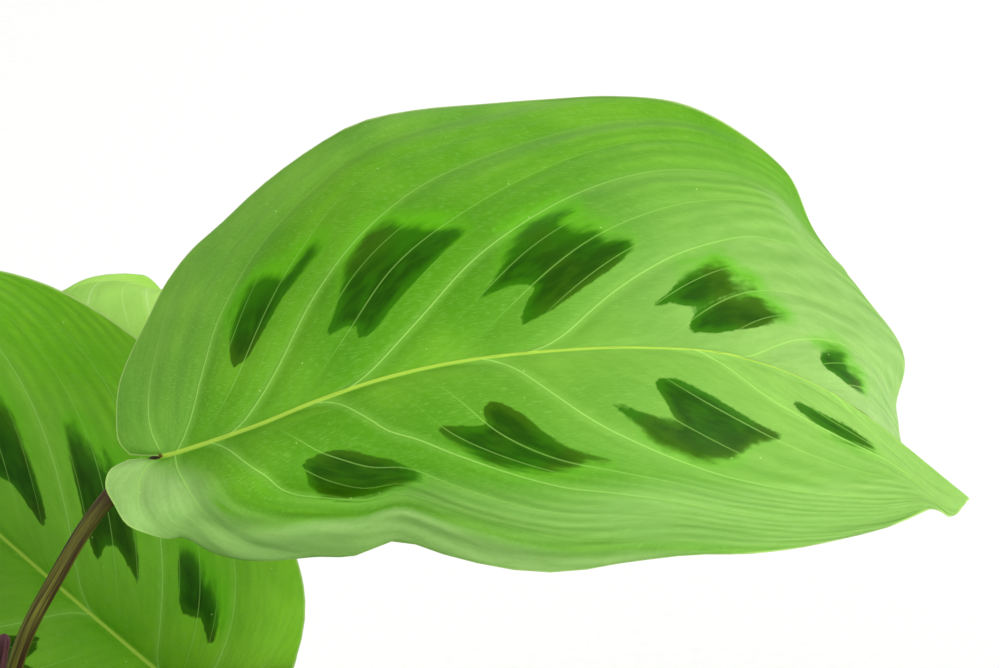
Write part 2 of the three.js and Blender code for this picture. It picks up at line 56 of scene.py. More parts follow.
MM = 0.001
VEINS = 8  # side veins on each half, counting the notch edge and the tip
HALF_VEIN = 0.53  # place of the finer vein between two side veins
ROOT_TURN = 0.12  # how far towards the stalk a side vein starts, in veins
ROOT_REACH = 0.03  # share of the way out at which it has mostly turned
MOUTH_RADIUS = 60.5  # inside radius of the pot at its rim
SOIL_EDGE = 96.0  # height of the soil where it meets the pot
SOIL_MOUND = 4.0  # how much higher it is in the middle
Faces = list[list[int]]
Fields = dict[str, np.ndarray]
Part = tuple[np.ndarray, Faces, Fields]  # points in millimetres, faces, and values of each point
Outline = Sequence[tuple[float, float]]
Input = bpy.types.NodeSocket | float | tuple[float, ...]


class Slot(Enum):
    """The record's material slots."""

    POT = "pot_clay"
    SOIL = "soil"
    STALK = "stalk"
    LEAF = "leaf"
    YOUNG_LEAF = "young_leaf"


class Age(Enum):
    """How old a leaf is, or that its colours are painted brighter, as if light shone through it."""

    YOUNG = "young"
    GROWN = "grown"
    # A grown leaf whose colours are painted brighter, as if light shone through it.
    OLD = "old"


class Half(Enum):
    """The halves of a blade, with the sign of their side of the midrib."""

    LEFT = 1
    RIGHT = -1


# ---- small tools ------------------------------------------------------------------


def linear(colour: str) -> tuple[float, float, float, float]:
    """Turns an sRGB hex colour into linear red, green, blue and an alpha of 1.

    Args:
        colour: six hex digits, such as "5a9a2d"

    Returns:
        the four values that a colour socket takes
    """
    parts = [int(colour[start : start + 2], 16) / 255 for start in (0, 2, 4)]
    red, green, blue = (c / 12.92 if c <= 0.04045 else ((c + 0.055) / 1.055) ** 2.4 for c in parts)
    return red, green, blue, 1.0


def add_node(
    tree: bpy.types.NodeTree,
    kind: str,
    inputs: Mapping[int | str, Input],
    output: int | str = 0,
    **settings: object,
) -> bpy.types.NodeSocket:
    """Adds one node, with its settings and links.

    Args:
        tree: the node tree that it goes into
        kind: the node's type, without "ShaderNode"
        inputs: a value or another node's output for each input, by number or name
        output: the output that the next node reads, by number or name
        settings: the node's own properties

    Returns:
        the chosen output
    """
    node = tree.nodes.new(f"ShaderNode{kind}")
    for name, value in settings.items():
        setattr(node, name, value)
    for key, value in inputs.items():
        if isinstance(value, bpy.types.NodeSocket):
            tree.links.new(value, node.inputs[key])
        else:
            node.inputs[key].default_value = value
    return node.outputs[output] if node.outputs else node.inputs[0]


def overlap(tree: bpy.types.NodeTree, masks: Sequence[Input]) -> Input:
    """Finds where several masks hold together.

    Args:
        tree: the node tree
        masks: masks and strengths, from 0 to 1

    Returns:
        their product
    """
    whole = masks[0]
    for mask in masks[1:]:
        whole = add_node(tree, "Math", {0: whole, 1: mask}, operation="MULTIPLY")
    return whole


def coats(
    tree: bpy.types.NodeTree, ground: Input, layers: Iterable[tuple[Sequence[Input], str | Input]]
) -> Input:
    """Lays coats of colour over a ground.

    Args:
        tree: the node tree
        ground: the colour below them all
        layers: for each coat, from the lowest up, the masks that it shows through together, and
            its colour, in sRGB hex or from another node

    Returns:
        the colour on top
    """
    for masks, tint in layers:
        colour = linear(tint) if isinstance(tint, str) else tint
        inputs = {0: overlap(tree, masks), 6: ground, 7: colour}
        ground = add_node(tree, "Mix", inputs, 2, data_type="RGBA")
    return ground


def new_material(name: str) -> tuple[bpy.types.Material, bpy.types.NodeTree]:
    """Makes a material with an empty node tree.

    Args:
        name: the material's name

    Returns:
        the material and its tree
    """
    material = bpy.data.materials.new(name)
    material.use_nodes = True
    material.node_tree.nodes.clear()
    return material, material.node_tree


def make_piece(
    name: str, points: np.ndarray, faces: Faces, fields: Fields, material: bpy.types.Material
) -> bpy.types.Object:
    """Makes a smooth mesh object from points in millimetres.

    Args:
        name: the object's name
        points: one row of x, y, z for each vertex
        faces: vertex numbers of each face
        fields: values for each vertex, which the material reads by name
        material: the mesh's material

    Returns:
        the new object, linked to the scene
    """
    mesh = bpy.data.meshes.new(name)
    mesh.from_pydata((points * MM).tolist(), [], faces)
    mesh.shade_smooth()
    for field, values in fields.items():
        attribute = mesh.attributes.new(field, "FLOAT", "POINT")
        attribute.data.foreach_set("value", np.asarray(values, np.float32))
    mesh.materials.append(material)
    piece = bpy.data.objects.new(name, mesh)
    bpy.context.scene.collection.objects.link(piece)
    return piece


def soil_level(radius: np.ndarray | float) -> np.ndarray | float:
    """Height of the soil at a distance from the middle, without its lumps."""
    return SOIL_EDGE + SOIL_MOUND * (1 - (radius / MOUTH_RADIUS) ** 2)


def settle(piece: bpy.types.Object, node: str) -> None:
    """Lets a piece stand for a CAD node, on the plant's one body.

    Args:
        piece: the finer piece
        node: the node that it replaces
    """
    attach(piece, "root")
    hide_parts(node)
    log.info("%s: %d vertices", piece.name, len(piece.data.vertices))


def round_angles(count: int) -> np.ndarray:
    """Angles of points spread evenly round a circle."""
    return np.linspace(0, 2 * math.pi, count, endpoint=False)


def stitch(rings: int, sides: int, closed_below: bool = True) -> Faces:
    """Joins a stack of rings, and closes its ends with a fan of triangles each.

    Args:
        rings: how many rings there are
        sides: how many points each of them has
        closed_below: whether the first ring is closed too, and not only the last

    Returns:
        the faces, for points numbered ring by ring, with those in the middle of the ends last
    """
    number = np.arange(rings * sides).reshape(rings, sides)
    ahead = np.roll(number, -1, axis=1)
    quads = np.stack([number[:-1], ahead[:-1], ahead[1:], number[1:]], -1)
    faces = quads.reshape(-1, 4).tolist()
    if closed_below:
        faces += [[rings * sides, b, a] for a, b in zip(number[0].tolist(), ahead[0].tolist())]
    top = rings * sides + closed_below
    faces += [[top, a, b] for a, b in zip(number[-1].tolist(), ahead[-1].tolist())]
    return faces


def joined(parts: Iterable[Part]) -> Part:
    """Joins loose parts into one.

    Args:
        parts: the parts, whose fields have the same names

    Returns:
        one part with all their points, faces and fields
    """
    points, faces, fields, start = [], [], {}, 0
    for own_points, own_faces, own_fields in parts:
        points.append(own_points)
        faces += [[number + start for number in face] for face in own_faces]
        start += len(own_points)
        for field, values in own_fields.items():
            fields.setdefault(field, []).append(values)
    return np.concatenate(points), faces, {field: np.concatenate(v) for field, v in fields.items()}


def jitter(seed: float) -> float:
    """A repeatable value between -1 and 1 for a number."""
    value = math.sin(seed * 12.9898) * 43758.5453
    return 2 * (value - math.floor(value)) - 1


def ease(values: np.ndarray, start: float, end: float) -> np.ndarray:
    """A smooth step from 0 at start to 1 at end."""
    t = np.clip((values - start) / (end - start), 0, 1)
    return t * t * (3 - 2 * t)


def smooth_row(rows: Sequence, share: np.ndarray) -> np.ndarray:
    """Reads a smooth curve that passes through a row of points.

    Args:
        rows: the points, at equal steps
        share: how far along the row to read, from 0 to 1

    Returns:
        one point for each share
    """
    rows = np.asarray(rows, float)
    last = len(rows) - 1
    place = np.clip(share, 0, 1) * last
    left = np.minimum(place.astype(int), last - 1)
    t = (place - left).reshape(place.shape + (1,) * (rows.ndim - 1))
    row = np.concatenate([[2 * rows[0] - rows[1]], rows, [2 * rows[-1] - rows[-2]]])
    a, b, c, d = (row[left + step] for step in range(4))
    return 0.5 * (
        2 * b + (c - a) * t + (2 * a - 5 * b + 4 * c - d) * t**2 + (3 * b - 3 * c + d - a) * t**3
    )


def rising_row(values: Sequence[float], place: np.ndarray) -> np.ndarray:
    """Reads a rising row of values at fractional places, without overshoot.

    Args:
        values: the row
        place: where to read, from 0 to the last place

    Returns:
        one value for each place
    """
    row = np.asarray(values, float)
    steps = np.diff(row)
    between = 2 * steps[1:] * steps[:-1] / (steps[1:] + steps[:-1])
    slopes = np.concatenate([steps[:1], between, steps[-1:]])
    left = np.clip(place.astype(int), 0, len(row) - 2)
    t = place - left
    return (
        row[left] * (1 + 2 * t) * (1 - t) ** 2
        + slopes[left] * t * (1 - t) ** 2
        + row[left + 1] * t * t * (3 - 2 * t)
        + slopes[left + 1] * t * t * (t - 1)
    )


def away_from(points: np.ndarray, line: np.ndarray) -> np.ndarray:
    """Distance of each point from a line of short straight stretches.

    Args:
        points: the points, with x, y, z last
        line: the line's points

    Returns:
        one distance for each point
    """
    flat = points.reshape(-1, 3)
    best = np.full(len(flat), np.inf)
    for start, end in zip(line[:-1], line[1:]):
        run = end - start
        share = np.clip((flat - start) @ run / max(run @ run, 1e-9), 0, 1)
        gap = flat - start - share[:, None] * run
        best = np.minimum(best, np.einsum("ij,ij->i", gap, gap))
    return np.sqrt(best).reshape(points.shape[:-1])


# ---- the form of the blades ---------------------------------------------------------


@dataclass(frozen=True)
class HalfForm:
    """One half of a blade, from the midrib to the margin.

    A place on it is a side vein's number, 0 at the notch and 8 at the tip, and the
    share of the way out along that vein.
    """

    margin: np.ndarray
    bulge: Callable[[np.ndarray], np.ndarray]
    roots: Sequence[float]
    ends: Sequence[float]
    straightness: float
    drift: Sequence[Sequence[float]] | None = None
    crease: Callable[[np.ndarray, np.ndarray], np.ndarray] | None = None

    def drifted(self, vein: np.ndarray, out: np.ndarray) -> np.ndarray:
        """Where a real vein runs among the evenly laid ones.

        It leaves the midrib nearly along it, and then turns out.

        Args:
            vein: the real vein's number
            out: share of the way out

        Returns:
            the number of the evenly laid vein at that place
        """
        middle = ease(vein, 0, 1.5) * ease(VEINS - vein, 0, 1.5)
        laid = vein - ROOT_TURN * middle * np.exp(-out / ROOT_REACH)
        if self.drift is not None:
            across = smooth_row(self.drift, vein / VEINS)
            weights = smooth_row(np.eye(across.shape[-1]), out)
            laid = laid + (across * weights).sum(-1)
        return np.clip(laid, 0, VEINS)


@dataclass(frozen=True)
class BladeForm:
    """The middle surface of a blade: stalk to tip along +X, +Z out of the upper face."""

    midrib: np.ndarray
    halves: Mapping[Half, HalfForm]
    up_at: Callable[[np.ndarray], np.ndarray]
    wave: Callable[[Half, np.ndarray], np.ndarray]

    def points(self, half: Half, vein: np.ndarray, out: np.ndarray) -> np.ndarray:
        """Reads the surface.

        Args:
            half: which half of the blade
            vein: vein numbers
            out: shares of the way out to the margin

        Returns:
            points in the blade's own frame
        """
        form = self.halves[half]
        laid = form.drifted(vein, out)
        root = rising_row(form.roots, laid)
        end = rising_row(form.ends, laid)
        sweep = form.straightness * out + (1 - form.straightness) * out**4
        share = np.clip(root + (end - root) * sweep, 0, 1)
        inner = smooth_row(self.midrib, share)
        outer = smooth_row(form.margin, share)
        lift = form.bulge(share) * 4 * out * (1 - out) + self.wave(half, laid) * out**2
        if form.crease is not None:
            lift = lift + form.crease(vein, out)
        return inner + (outer - inner) * out[..., None] + self.up_at(share) * lift[..., None]


FRONT_MIDRIB = (
    (0, 0, 0), (2, 0.5, 1), (5, 1.5, 2.5), (9.5, 3, 4.5), (16.5, 5.5, 7), (25, 9, 9),
    (35.5, 12.5, 10.5), (47, 15, 11), (60, 16.5, 11), (74.5, 17, 9), (89.5, 15.5, 4),
    (106.5, 8.5, -6), (129.5, -8, -26),
)  # fmt: skip
FRONT_UPPER_MARGIN = (
    (-5, 0.2, -3), (-7, 2.5, -4), (-7.5, 6.5, -6), (-7.5, 11, -9), (-6, 16, -12), (-3.5, 21.5, -14),
    (-1, 27, -16), (3, 32.5, -17), (8, 37, -17.5), (14.5, 43, -17.5), (22, 48.5, -17), (30, 53, -16.5),
    (39, 55, -16.5), (49.5, 56, -17), (60, 57, -18), (70.5, 57.5, -19.5), (82, 56.5, -21.5),
    (92, 52, -24.5), (100, 45.5, -28), (105, 36, -31), (113, 26, -33.5), (120, 16, -35),
    (119, 6.5, -35), (121, -2, -33), (129.5, -8, -26),
)  # fmt: skip
FRONT_LOWER_MARGIN = (
    (-5, -0.5, 0), (-7.5, -2, 2), (-8, -4.5, 3), (-6.5, -7, 4.5), (-4.5, -10, 5.5), (-1.5, -11.5, 5),
    (1.5, -12.5, 3), (4, -12.5, 1), (8.5, -15, -1), (13.5, -16, -1), (19, -16, 0), (24.5, -15.5, 1),
    (30.5, -15, 3), (37, -12.5, 6), (44.5, -14.5, 8), (53.5, -16.5, 9.5), (62.5, -17, 10.5),
    (72, -15.5, 10.5), (81.5, -14.5, 9), (91.5, -14.5, 6), (101.5, -13.5, 2), (113, -11.5, -6),
    (121.5, -9, -15), (126, -10.5, -21), (129.5, -8, -26),
)  # fmt: skip
FRONT_UPPER_BULGE = (0, 1, 2.5, 4, 5, 5.5, 6, 6, 5.5, 4.5, 3, 1.5, 0)
FRONT_LOWER_BULGE = (0, 0.5, 1.5, 4, 8, 8, 7.5, 7, 6, 4.5, 3, 1.5, 0)
FRONT_PLEAT = 0.35  # depth of the fold at the margin that a side vein ends in
# How far each vein drifts towards the tip, at six equal steps from midrib to margin.
FRONT_UPPER_DRIFT = (
    (0, 0, 0, 0, 0, 0), (0, 0.28, 0.29, 0.28, 0.2, 0.1), (0, 0.31, 0.36, 0.22, 0.02, 0.1),
    (0, 0.2, 0.22, 0.21, 0.08, 0.1), (0, 0.12, 0.15, 0.22, 0.28, 0.1),
    (-0.03, -0.03, 0, 0.04, -0.05, -0.5), (-0.05, -0.11, -0.14, -0.1, 0.1, 0.1),
    (0, 0, -0.05, -0.05, 0, 0), (0, 0, 0, 0, 0, 0),
)  # fmt: skip
FRONT_LOWER_DRIFT = (
    (0, 0, 0, 0, 0, 0), (0, 0.06, 0.1, 0.05, 0, 0), (0, 0.12, 0.18, 0.1, -0.08, -0.1),
    (-0.05, 0.02, 0.05, 0, 0.5, 0.8), (0, 0.02, 0.05, 0.4, 0.75, 1), (0, 0.07, 0.12, 0.26, 0.67, 0.95),
    (0, 0.15, 0.42, 0.7, 0.9, 1), (0, 0.1, 0.25, 0.4, 0.6, 0.7), (0, 0, 0, 0, 0, 0),
)  # fmt: skip

# Where the lower margin folds back: share of the way out, at every half vein from the notch.
FRONT_FOLD = (1.1, 1.05, 1.0, 0.93, 0.8, 0.74, 0.84, 0.9, 0.95)
# The crease there and the crest beyond it: millimetres high, and broad in shares of the way.
CREASE_DEPTH, CREASE_BREADTH = 0.6, 0.045
CREST_HEIGHT, CREST_BREADTH, CREST_BEYOND = 0.8, 0.055, 0.085

# One half of a common blade, flat and 1 long, and where its side veins leave the midrib and end.
HALF_OUTLINE = (
    (-0.06, 0.014), (-0.085, 0.1), (-0.035, 0.21), (0.12, 0.29), (0.34, 0.325), (0.58, 0.3),
    (0.8, 0.21), (0.94, 0.09), (1, 0),
)  # fmt: skip
COMMON_ROOTS = (0, 0.02, 0.105, 0.27, 0.455, 0.65, 0.83, 0.925, 1)
COMMON_ENDS = (0, 0.26, 0.52, 0.7, 0.83, 0.89, 0.935, 0.97, 1)
MIDRIB_STEPS = 12
MIDRIB_CROWDING = 1.8  # above 1, its points stand closer towards the stalk
BULGE_SHARE = 0.045  # height of each half's bulge, against the blade's length
FOLD = math.radians(9)  # how far each half is folded up from flat
WAVE_COUNT = 2.5  # waves of the margin between notch and tip
WAVE_SHARE = 0.022  # their height, against the blade's length
HALF_DIFFERENCE = 0.05  # how much broader or narrower than usual a half may be


def front_fold(vein: np.ndarray) -> np.ndarray:
    """Share of the way out at which the front blade's lower margin folds back."""
    return smooth_row(FRONT_FOLD, 2 * vein / (len(FRONT_FOLD) - 1))


def front_form() -> BladeForm:
    """The form of the large front blade, drawn from its own outline.

    Returns:
        the form
    """
    up = np.array([0.0, 0.0, 1.0])

    def pleat(half: Half, vein: np.ndarray) -> np.ndarray:
        """Each side vein lies in a shallow fold at the margin."""
        depth = FRONT_PLEAT * np.clip(np.minimum(vein, (VEINS - vein) / 2), 0, 1)
        return -depth * np.cos(2 * math.pi * vein)

    def crease(vein: np.ndarray, out: np.ndarray) -> np.ndarray:
        """The lower margin is rolled back beside the notch, behind a crease.

        Args:
            vein: vein numbers
            out: shares of the way out

        Returns:
            heights above the plain form
        """
        beyond = out - front_fold(vein)
        window = ease(vein, 1.2, 1.9) * ease(4.6 - vein, 0, 1.8)
        valley = np.exp(-((beyond / CREASE_BREADTH) ** 2))
        crest = np.exp(-(((beyond - CREST_BEYOND) / CREST_BREADTH) ** 2))
        return window * (CREST_HEIGHT * crest - CREASE_DEPTH * valley)

    return BladeForm(
        midrib=np.asarray(FRONT_MIDRIB, float),
        halves={
            Half.LEFT: HalfForm(
                margin=np.asarray(FRONT_UPPER_MARGIN, float),
                bulge=lambda share: smooth_row(FRONT_UPPER_BULGE, share),
                roots=(0, 0.02, 0.11, 0.29, 0.475, 0.675, 0.845, 0.935, 1),
                ends=(0, 0.27, 0.57, 0.72, 0.8, 0.86, 0.91, 0.955, 1),
                straightness=0.5,
                drift=FRONT_UPPER_DRIFT,
            ),
            Half.RIGHT: HalfForm(
                margin=np.asarray(FRONT_LOWER_MARGIN, float),
                bulge=lambda share: smooth_row(FRONT_LOWER_BULGE, share),
                roots=(0, 0.02, 0.1, 0.25, 0.433, 0.623, 0.81, 0.915, 1),
                ends=(0, 0.25, 0.47, 0.69, 0.85, 0.92, 0.96, 0.985, 1),
                straightness=0.6,
                drift=FRONT_LOWER_DRIFT,
                crease=crease,
            ),
        },
        up_at=lambda share: np.broadcast_to(up, share.shape + (3,)),
        wave=pleat,
    )


def common_form(length: float, droop: float, seed: int, breadth: float = 1) -> BladeForm:
    """The form of any other blade, which droops along its midrib.

    Args:
        length: from stalk to tip
        droop: how far the midrib turns down on the way, in degrees
        seed: the leaf's own number, for small differences
        breadth: how broad it is, against the usual

    Returns:
        the form
    """
    bend = math.radians(droop)

    def up_along(x: np.ndarray) -> np.ndarray:
        """Direction out of the upper face at a distance along the midrib."""
        turned = bend * x / length
        return np.stack([np.sin(turned), np.zeros_like(turned), np.cos(turned)], -1)

    def bent(x: np.ndarray, y: np.ndarray) -> np.ndarray:
        """Bends a flat place along the midrib and folds it up beside it.

        Args:
            x: distances along the midrib
            y: distances beside it

        Returns:
            the places on the bent blade
        """
        up = up_along(x)
        place = np.stack([up[..., 0], np.zeros_like(x), up[..., 2] - 1], -1) * length / bend
        place += up * (np.abs(y) * math.sin(FOLD))[..., None]
        place[..., 1] = y * math.cos(FOLD)
        return place

    steps = length * (np.arange(MIDRIB_STEPS + 1) / MIDRIB_STEPS) ** MIDRIB_CROWDING
    phase = math.pi * jitter(seed + 0.25)
    flat = np.asarray(HALF_OUTLINE, float) * length
    halves = {}
    for half in Half:
        broad = half.value * breadth * (1 + HALF_DIFFERENCE * half.value * jitter(seed + 0.5))
        halves[half] = HalfForm(
            margin=bent(flat[:, 0], flat[:, 1] * broad),
            bulge=lambda share: BULGE_SHARE * length * np.sin(math.pi * share),
            roots=COMMON_ROOTS,
            ends=COMMON_ENDS,
            straightness=0.55,
        )

    def wave(half: Half, vein: np.ndarray) -> np.ndarray:
        """Lift of the margin."""
        turn = 2 * math.pi * WAVE_COUNT * vein / VEINS + phase + half.value
        return WAVE_SHARE * length * np.sin(turn) * np.sin(math.pi * vein / VEINS)

    return BladeForm(
        midrib=bent(steps, np.zeros_like(steps)),
        halves=halves,
        up_at=lambda share: up_along(length * share**MIDRIB_CROWDING),
        wave=wave,
    )


# ---- the blotches -------------------------------------------------------------------

# Outlines on the front blade: vein number, and hundredths of the way out.
FRONT_UPPER_BLOTCHES = (
    ((2.42, 31), (2.27, 42), (2.2, 52), (2.2, 60), (2.34, 60), (2.54, 54), (2.6, 59), (2.69, 59),
     (2.75, 53), (2.68, 48), (2.64, 42), (2.58, 33), (2.5, 31)),
    ((3.37, 22), (3.32, 28), (3.26, 36), (3.13, 46), (3.09, 53), (3.12, 58), (3.22, 55), (3.33, 54),
     (3.51, 52), (3.73, 49), (3.77, 42), (3.77, 33), (3.75, 25), (3.74, 18), (3.66, 17), (3.56, 22),
     (3.47, 23)),
    ((4.29, 22), (4.26, 30), (4.17, 39), (4.07, 47), (4.07, 53), (4.15, 54), (4.27, 48), (4.41, 46),
     (4.52, 46), (4.58, 43), (4.68, 44), (4.77, 42), (4.83, 36), (4.84, 28), (4.81, 18), (4.76, 13),
     (4.7, 11), (4.62, 18), (4.55, 25), (4.42, 26), (4.35, 24)),
    ((5.28, 20), (5.25, 28), (5.22, 36), (5.23, 44), (5.31, 47), (5.39, 43), (5.43, 42), (5.47, 49),
     (5.51, 46), (5.5, 35), (5.49, 26), (5.42, 23), (5.35, 23)),
    ((5.59, 11), (5.52, 18), (5.49, 26), (5.52, 34), (5.57, 44), (5.62, 45), (5.68, 43), (5.77, 45),
     (5.83, 36), (5.81, 24), (5.73, 15), (5.66, 12)),
    ((6.24, 31), (6.14, 40), (6.1, 49), (6.15, 52), (6.26, 46), (6.39, 45), (6.47, 50), (6.57, 46),
     (6.55, 37), (6.44, 31), (6.33, 28)),
)  # fmt: skip
FRONT_LOWER_BLOTCHES = (
    ((3.24, 46), (3.34, 38), (3.5, 35), (3.64, 35), (3.68, 41), (3.64, 48), (3.54, 56), (3.48, 61),
     (3.36, 64), (3.18, 67), (3.02, 66), (3.04, 62), (3.14, 56)),
    ((4.25, 34), (4.36, 33), (4.52, 32), (4.57, 27), (4.64, 22), (4.71, 22), (4.75, 30), (4.72, 40),
     (4.69, 47), (4.69, 52), (4.57, 51), (4.43, 53), (4.28, 53), (4.1, 53), (4.07, 49), (4.17, 43)),
    ((5.16, 25), (5.2, 29), (5.22, 33), (5.26, 37), (5.3, 32), (5.37, 25), (5.44, 17), (5.52, 14),
     (5.58, 15), (5.61, 24), (5.59, 34), (5.58, 42), (5.45, 44), (5.36, 47), (5.22, 53), (5.08, 52),
     (5.08, 45), (5.12, 36)),
    ((6.16, 20), (6.27, 21), (6.34, 24), (6.42, 31), (6.36, 38), (6.14, 46), (6, 45), (5.98, 38),
     (6.05, 29)),
)  # fmt: skip
# The common blotch has two toes: places across it and along it, each from -1 to 1.
TOES = (
    (-0.9, -0.72), (-1, -0.3), (-0.92, 0.2), (-0.76, 0.7), (-0.5, 0.96), (-0.22, 0.84), (-0.05, 0.68),
    (0.18, 0.92), (0.5, 1), (0.82, 0.72), (1, 0.2), (1, -0.3), (0.92, -0.78), (0.68, -1),
    (0.42, -0.8), (0.16, -0.44), (-0.16, -0.42), (-0.52, -0.56),
)  # fmt: skip
# For each pair of veins: where the blotch between them starts and ends on its way out.
TOE_RANGES = {2: (0.32, 0.6), 3: (0.2, 0.57), 4: (0.13, 0.54), 5: (0.13, 0.5), 6: (0.24, 0.5)}
TOE_BREADTH = 0.31
# How far a blotch may differ: in its place and breadth across, and in its start and end.
SHIFT_DIFFERENCE, BREADTH_DIFFERENCE, START_DIFFERENCE, END_DIFFERENCE = 0.05, 0.14, 0.03, 0.04
BLOTCH_REACH = (0.8, 0.25)  # veins and shares of the way round a blotch where it is measured
FAR_OUTSIDE = -20.0  # depth in a blotch, in millimetres, of places that are near none
OUTLINE_STEPS = 5  # from one point of an outline to the next


def common_blotches(seed: int, half: Half) -> list[Outline]:
    """The blotches on one half of a common blade.

    Args:
        seed: the leaf's own number, for small differences
        half: the half of the blade

    Returns:
        one outline for each pair of veins
    """
    outlines = []
    for vein, (start, end) in TOE_RANGES.items():
        own = seed + 0.1 * vein + 0.05 * half.value
        middle = vein + HALF_VEIN + SHIFT_DIFFERENCE * jitter(own)
        broad = TOE_BREADTH * (1 + BREADTH_DIFFERENCE * jitter(own + 0.3))
        start += START_DIFFERENCE * jitter(own + 0.5)
        end += END_DIFFERENCE * jitter(own + 0.7)
        outlines.append(
            [(middle + broad * a, 50 * (start + end + b * (end - start))) for a, b in TOES]
        )
    return outlines


def blotch_fields(
    form: BladeForm, half: Half, outlines: Sequence[Outline], vein: np.ndarray, out: np.ndarray
) -> Fields:
    """How deep each place lies inside the nearest blotch.

    Args:
        form: the blade
        half: its half
        outlines: the blotches on that half
        vein: vein number of each place
        out: share of the way out of each place

    Returns:
        blotch_mm, above 0 inside a blotch, and blotch_soft, 1 where its edge is soft
    """
    points = form.points(half, vein, out)
    depth = np.full(vein.shape, FAR_OUTSIDE)
    soft = np.zeros(vein.shape)
    for outline in outlines:
        closed = np.asarray([*outline, *outline[:3]], float) * (1, 0.01)  # hundredths to shares
        count = len(outline)
        share = np.linspace(0, count, OUTLINE_STEPS * count + 1)
        ring = smooth_row([closed[-4], *closed], (share + 1) / (count + 3))
        low, high = ring.min(0), ring.max(0)
        first, last = low - BLOTCH_REACH, high + BLOTCH_REACH
        near = (vein > first[0]) & (vein < last[0]) & (out > first[1]) & (out < last[1])
        u, t = vein[near], out[near]
        inside = np.zeros(u.shape, bool)
        for (u0, t0), (u1, t1) in zip(ring[:-1], ring[1:]):
            crosses = (t0 > t) != (t1 > t)
            inside ^= crosses & (u < (u1 - u0) * (t - t0) / (t1 - t0 + 1e-12) + u0)
        gap = away_from(points[near], form.points(half, ring[:, 0], ring[:, 1]))
        signed = np.where(inside, gap, -gap)
        # The edge is crisp towards the midrib, and softens towards the margin and the tip.
        middle, reach = (low + high) / 2, (high - low) / 2
        lean = 0.1 + 0.9 * (t - middle[1]) / reach[1] - 0.2 * (u - middle[0]) / reach[0]
        lean = lean + 0.35 * ease(middle[0], 5.9, 6.4)
        better = signed > depth[near]
        depth[near] = np.where(better, signed, depth[near])
        soft[near] = np.where(better, np.clip(lean, 0, 1), soft[near])
    return {"blotch_mm": depth, "blotch_soft": soft}


# ---- finishes -----------------------------------------------------------------------


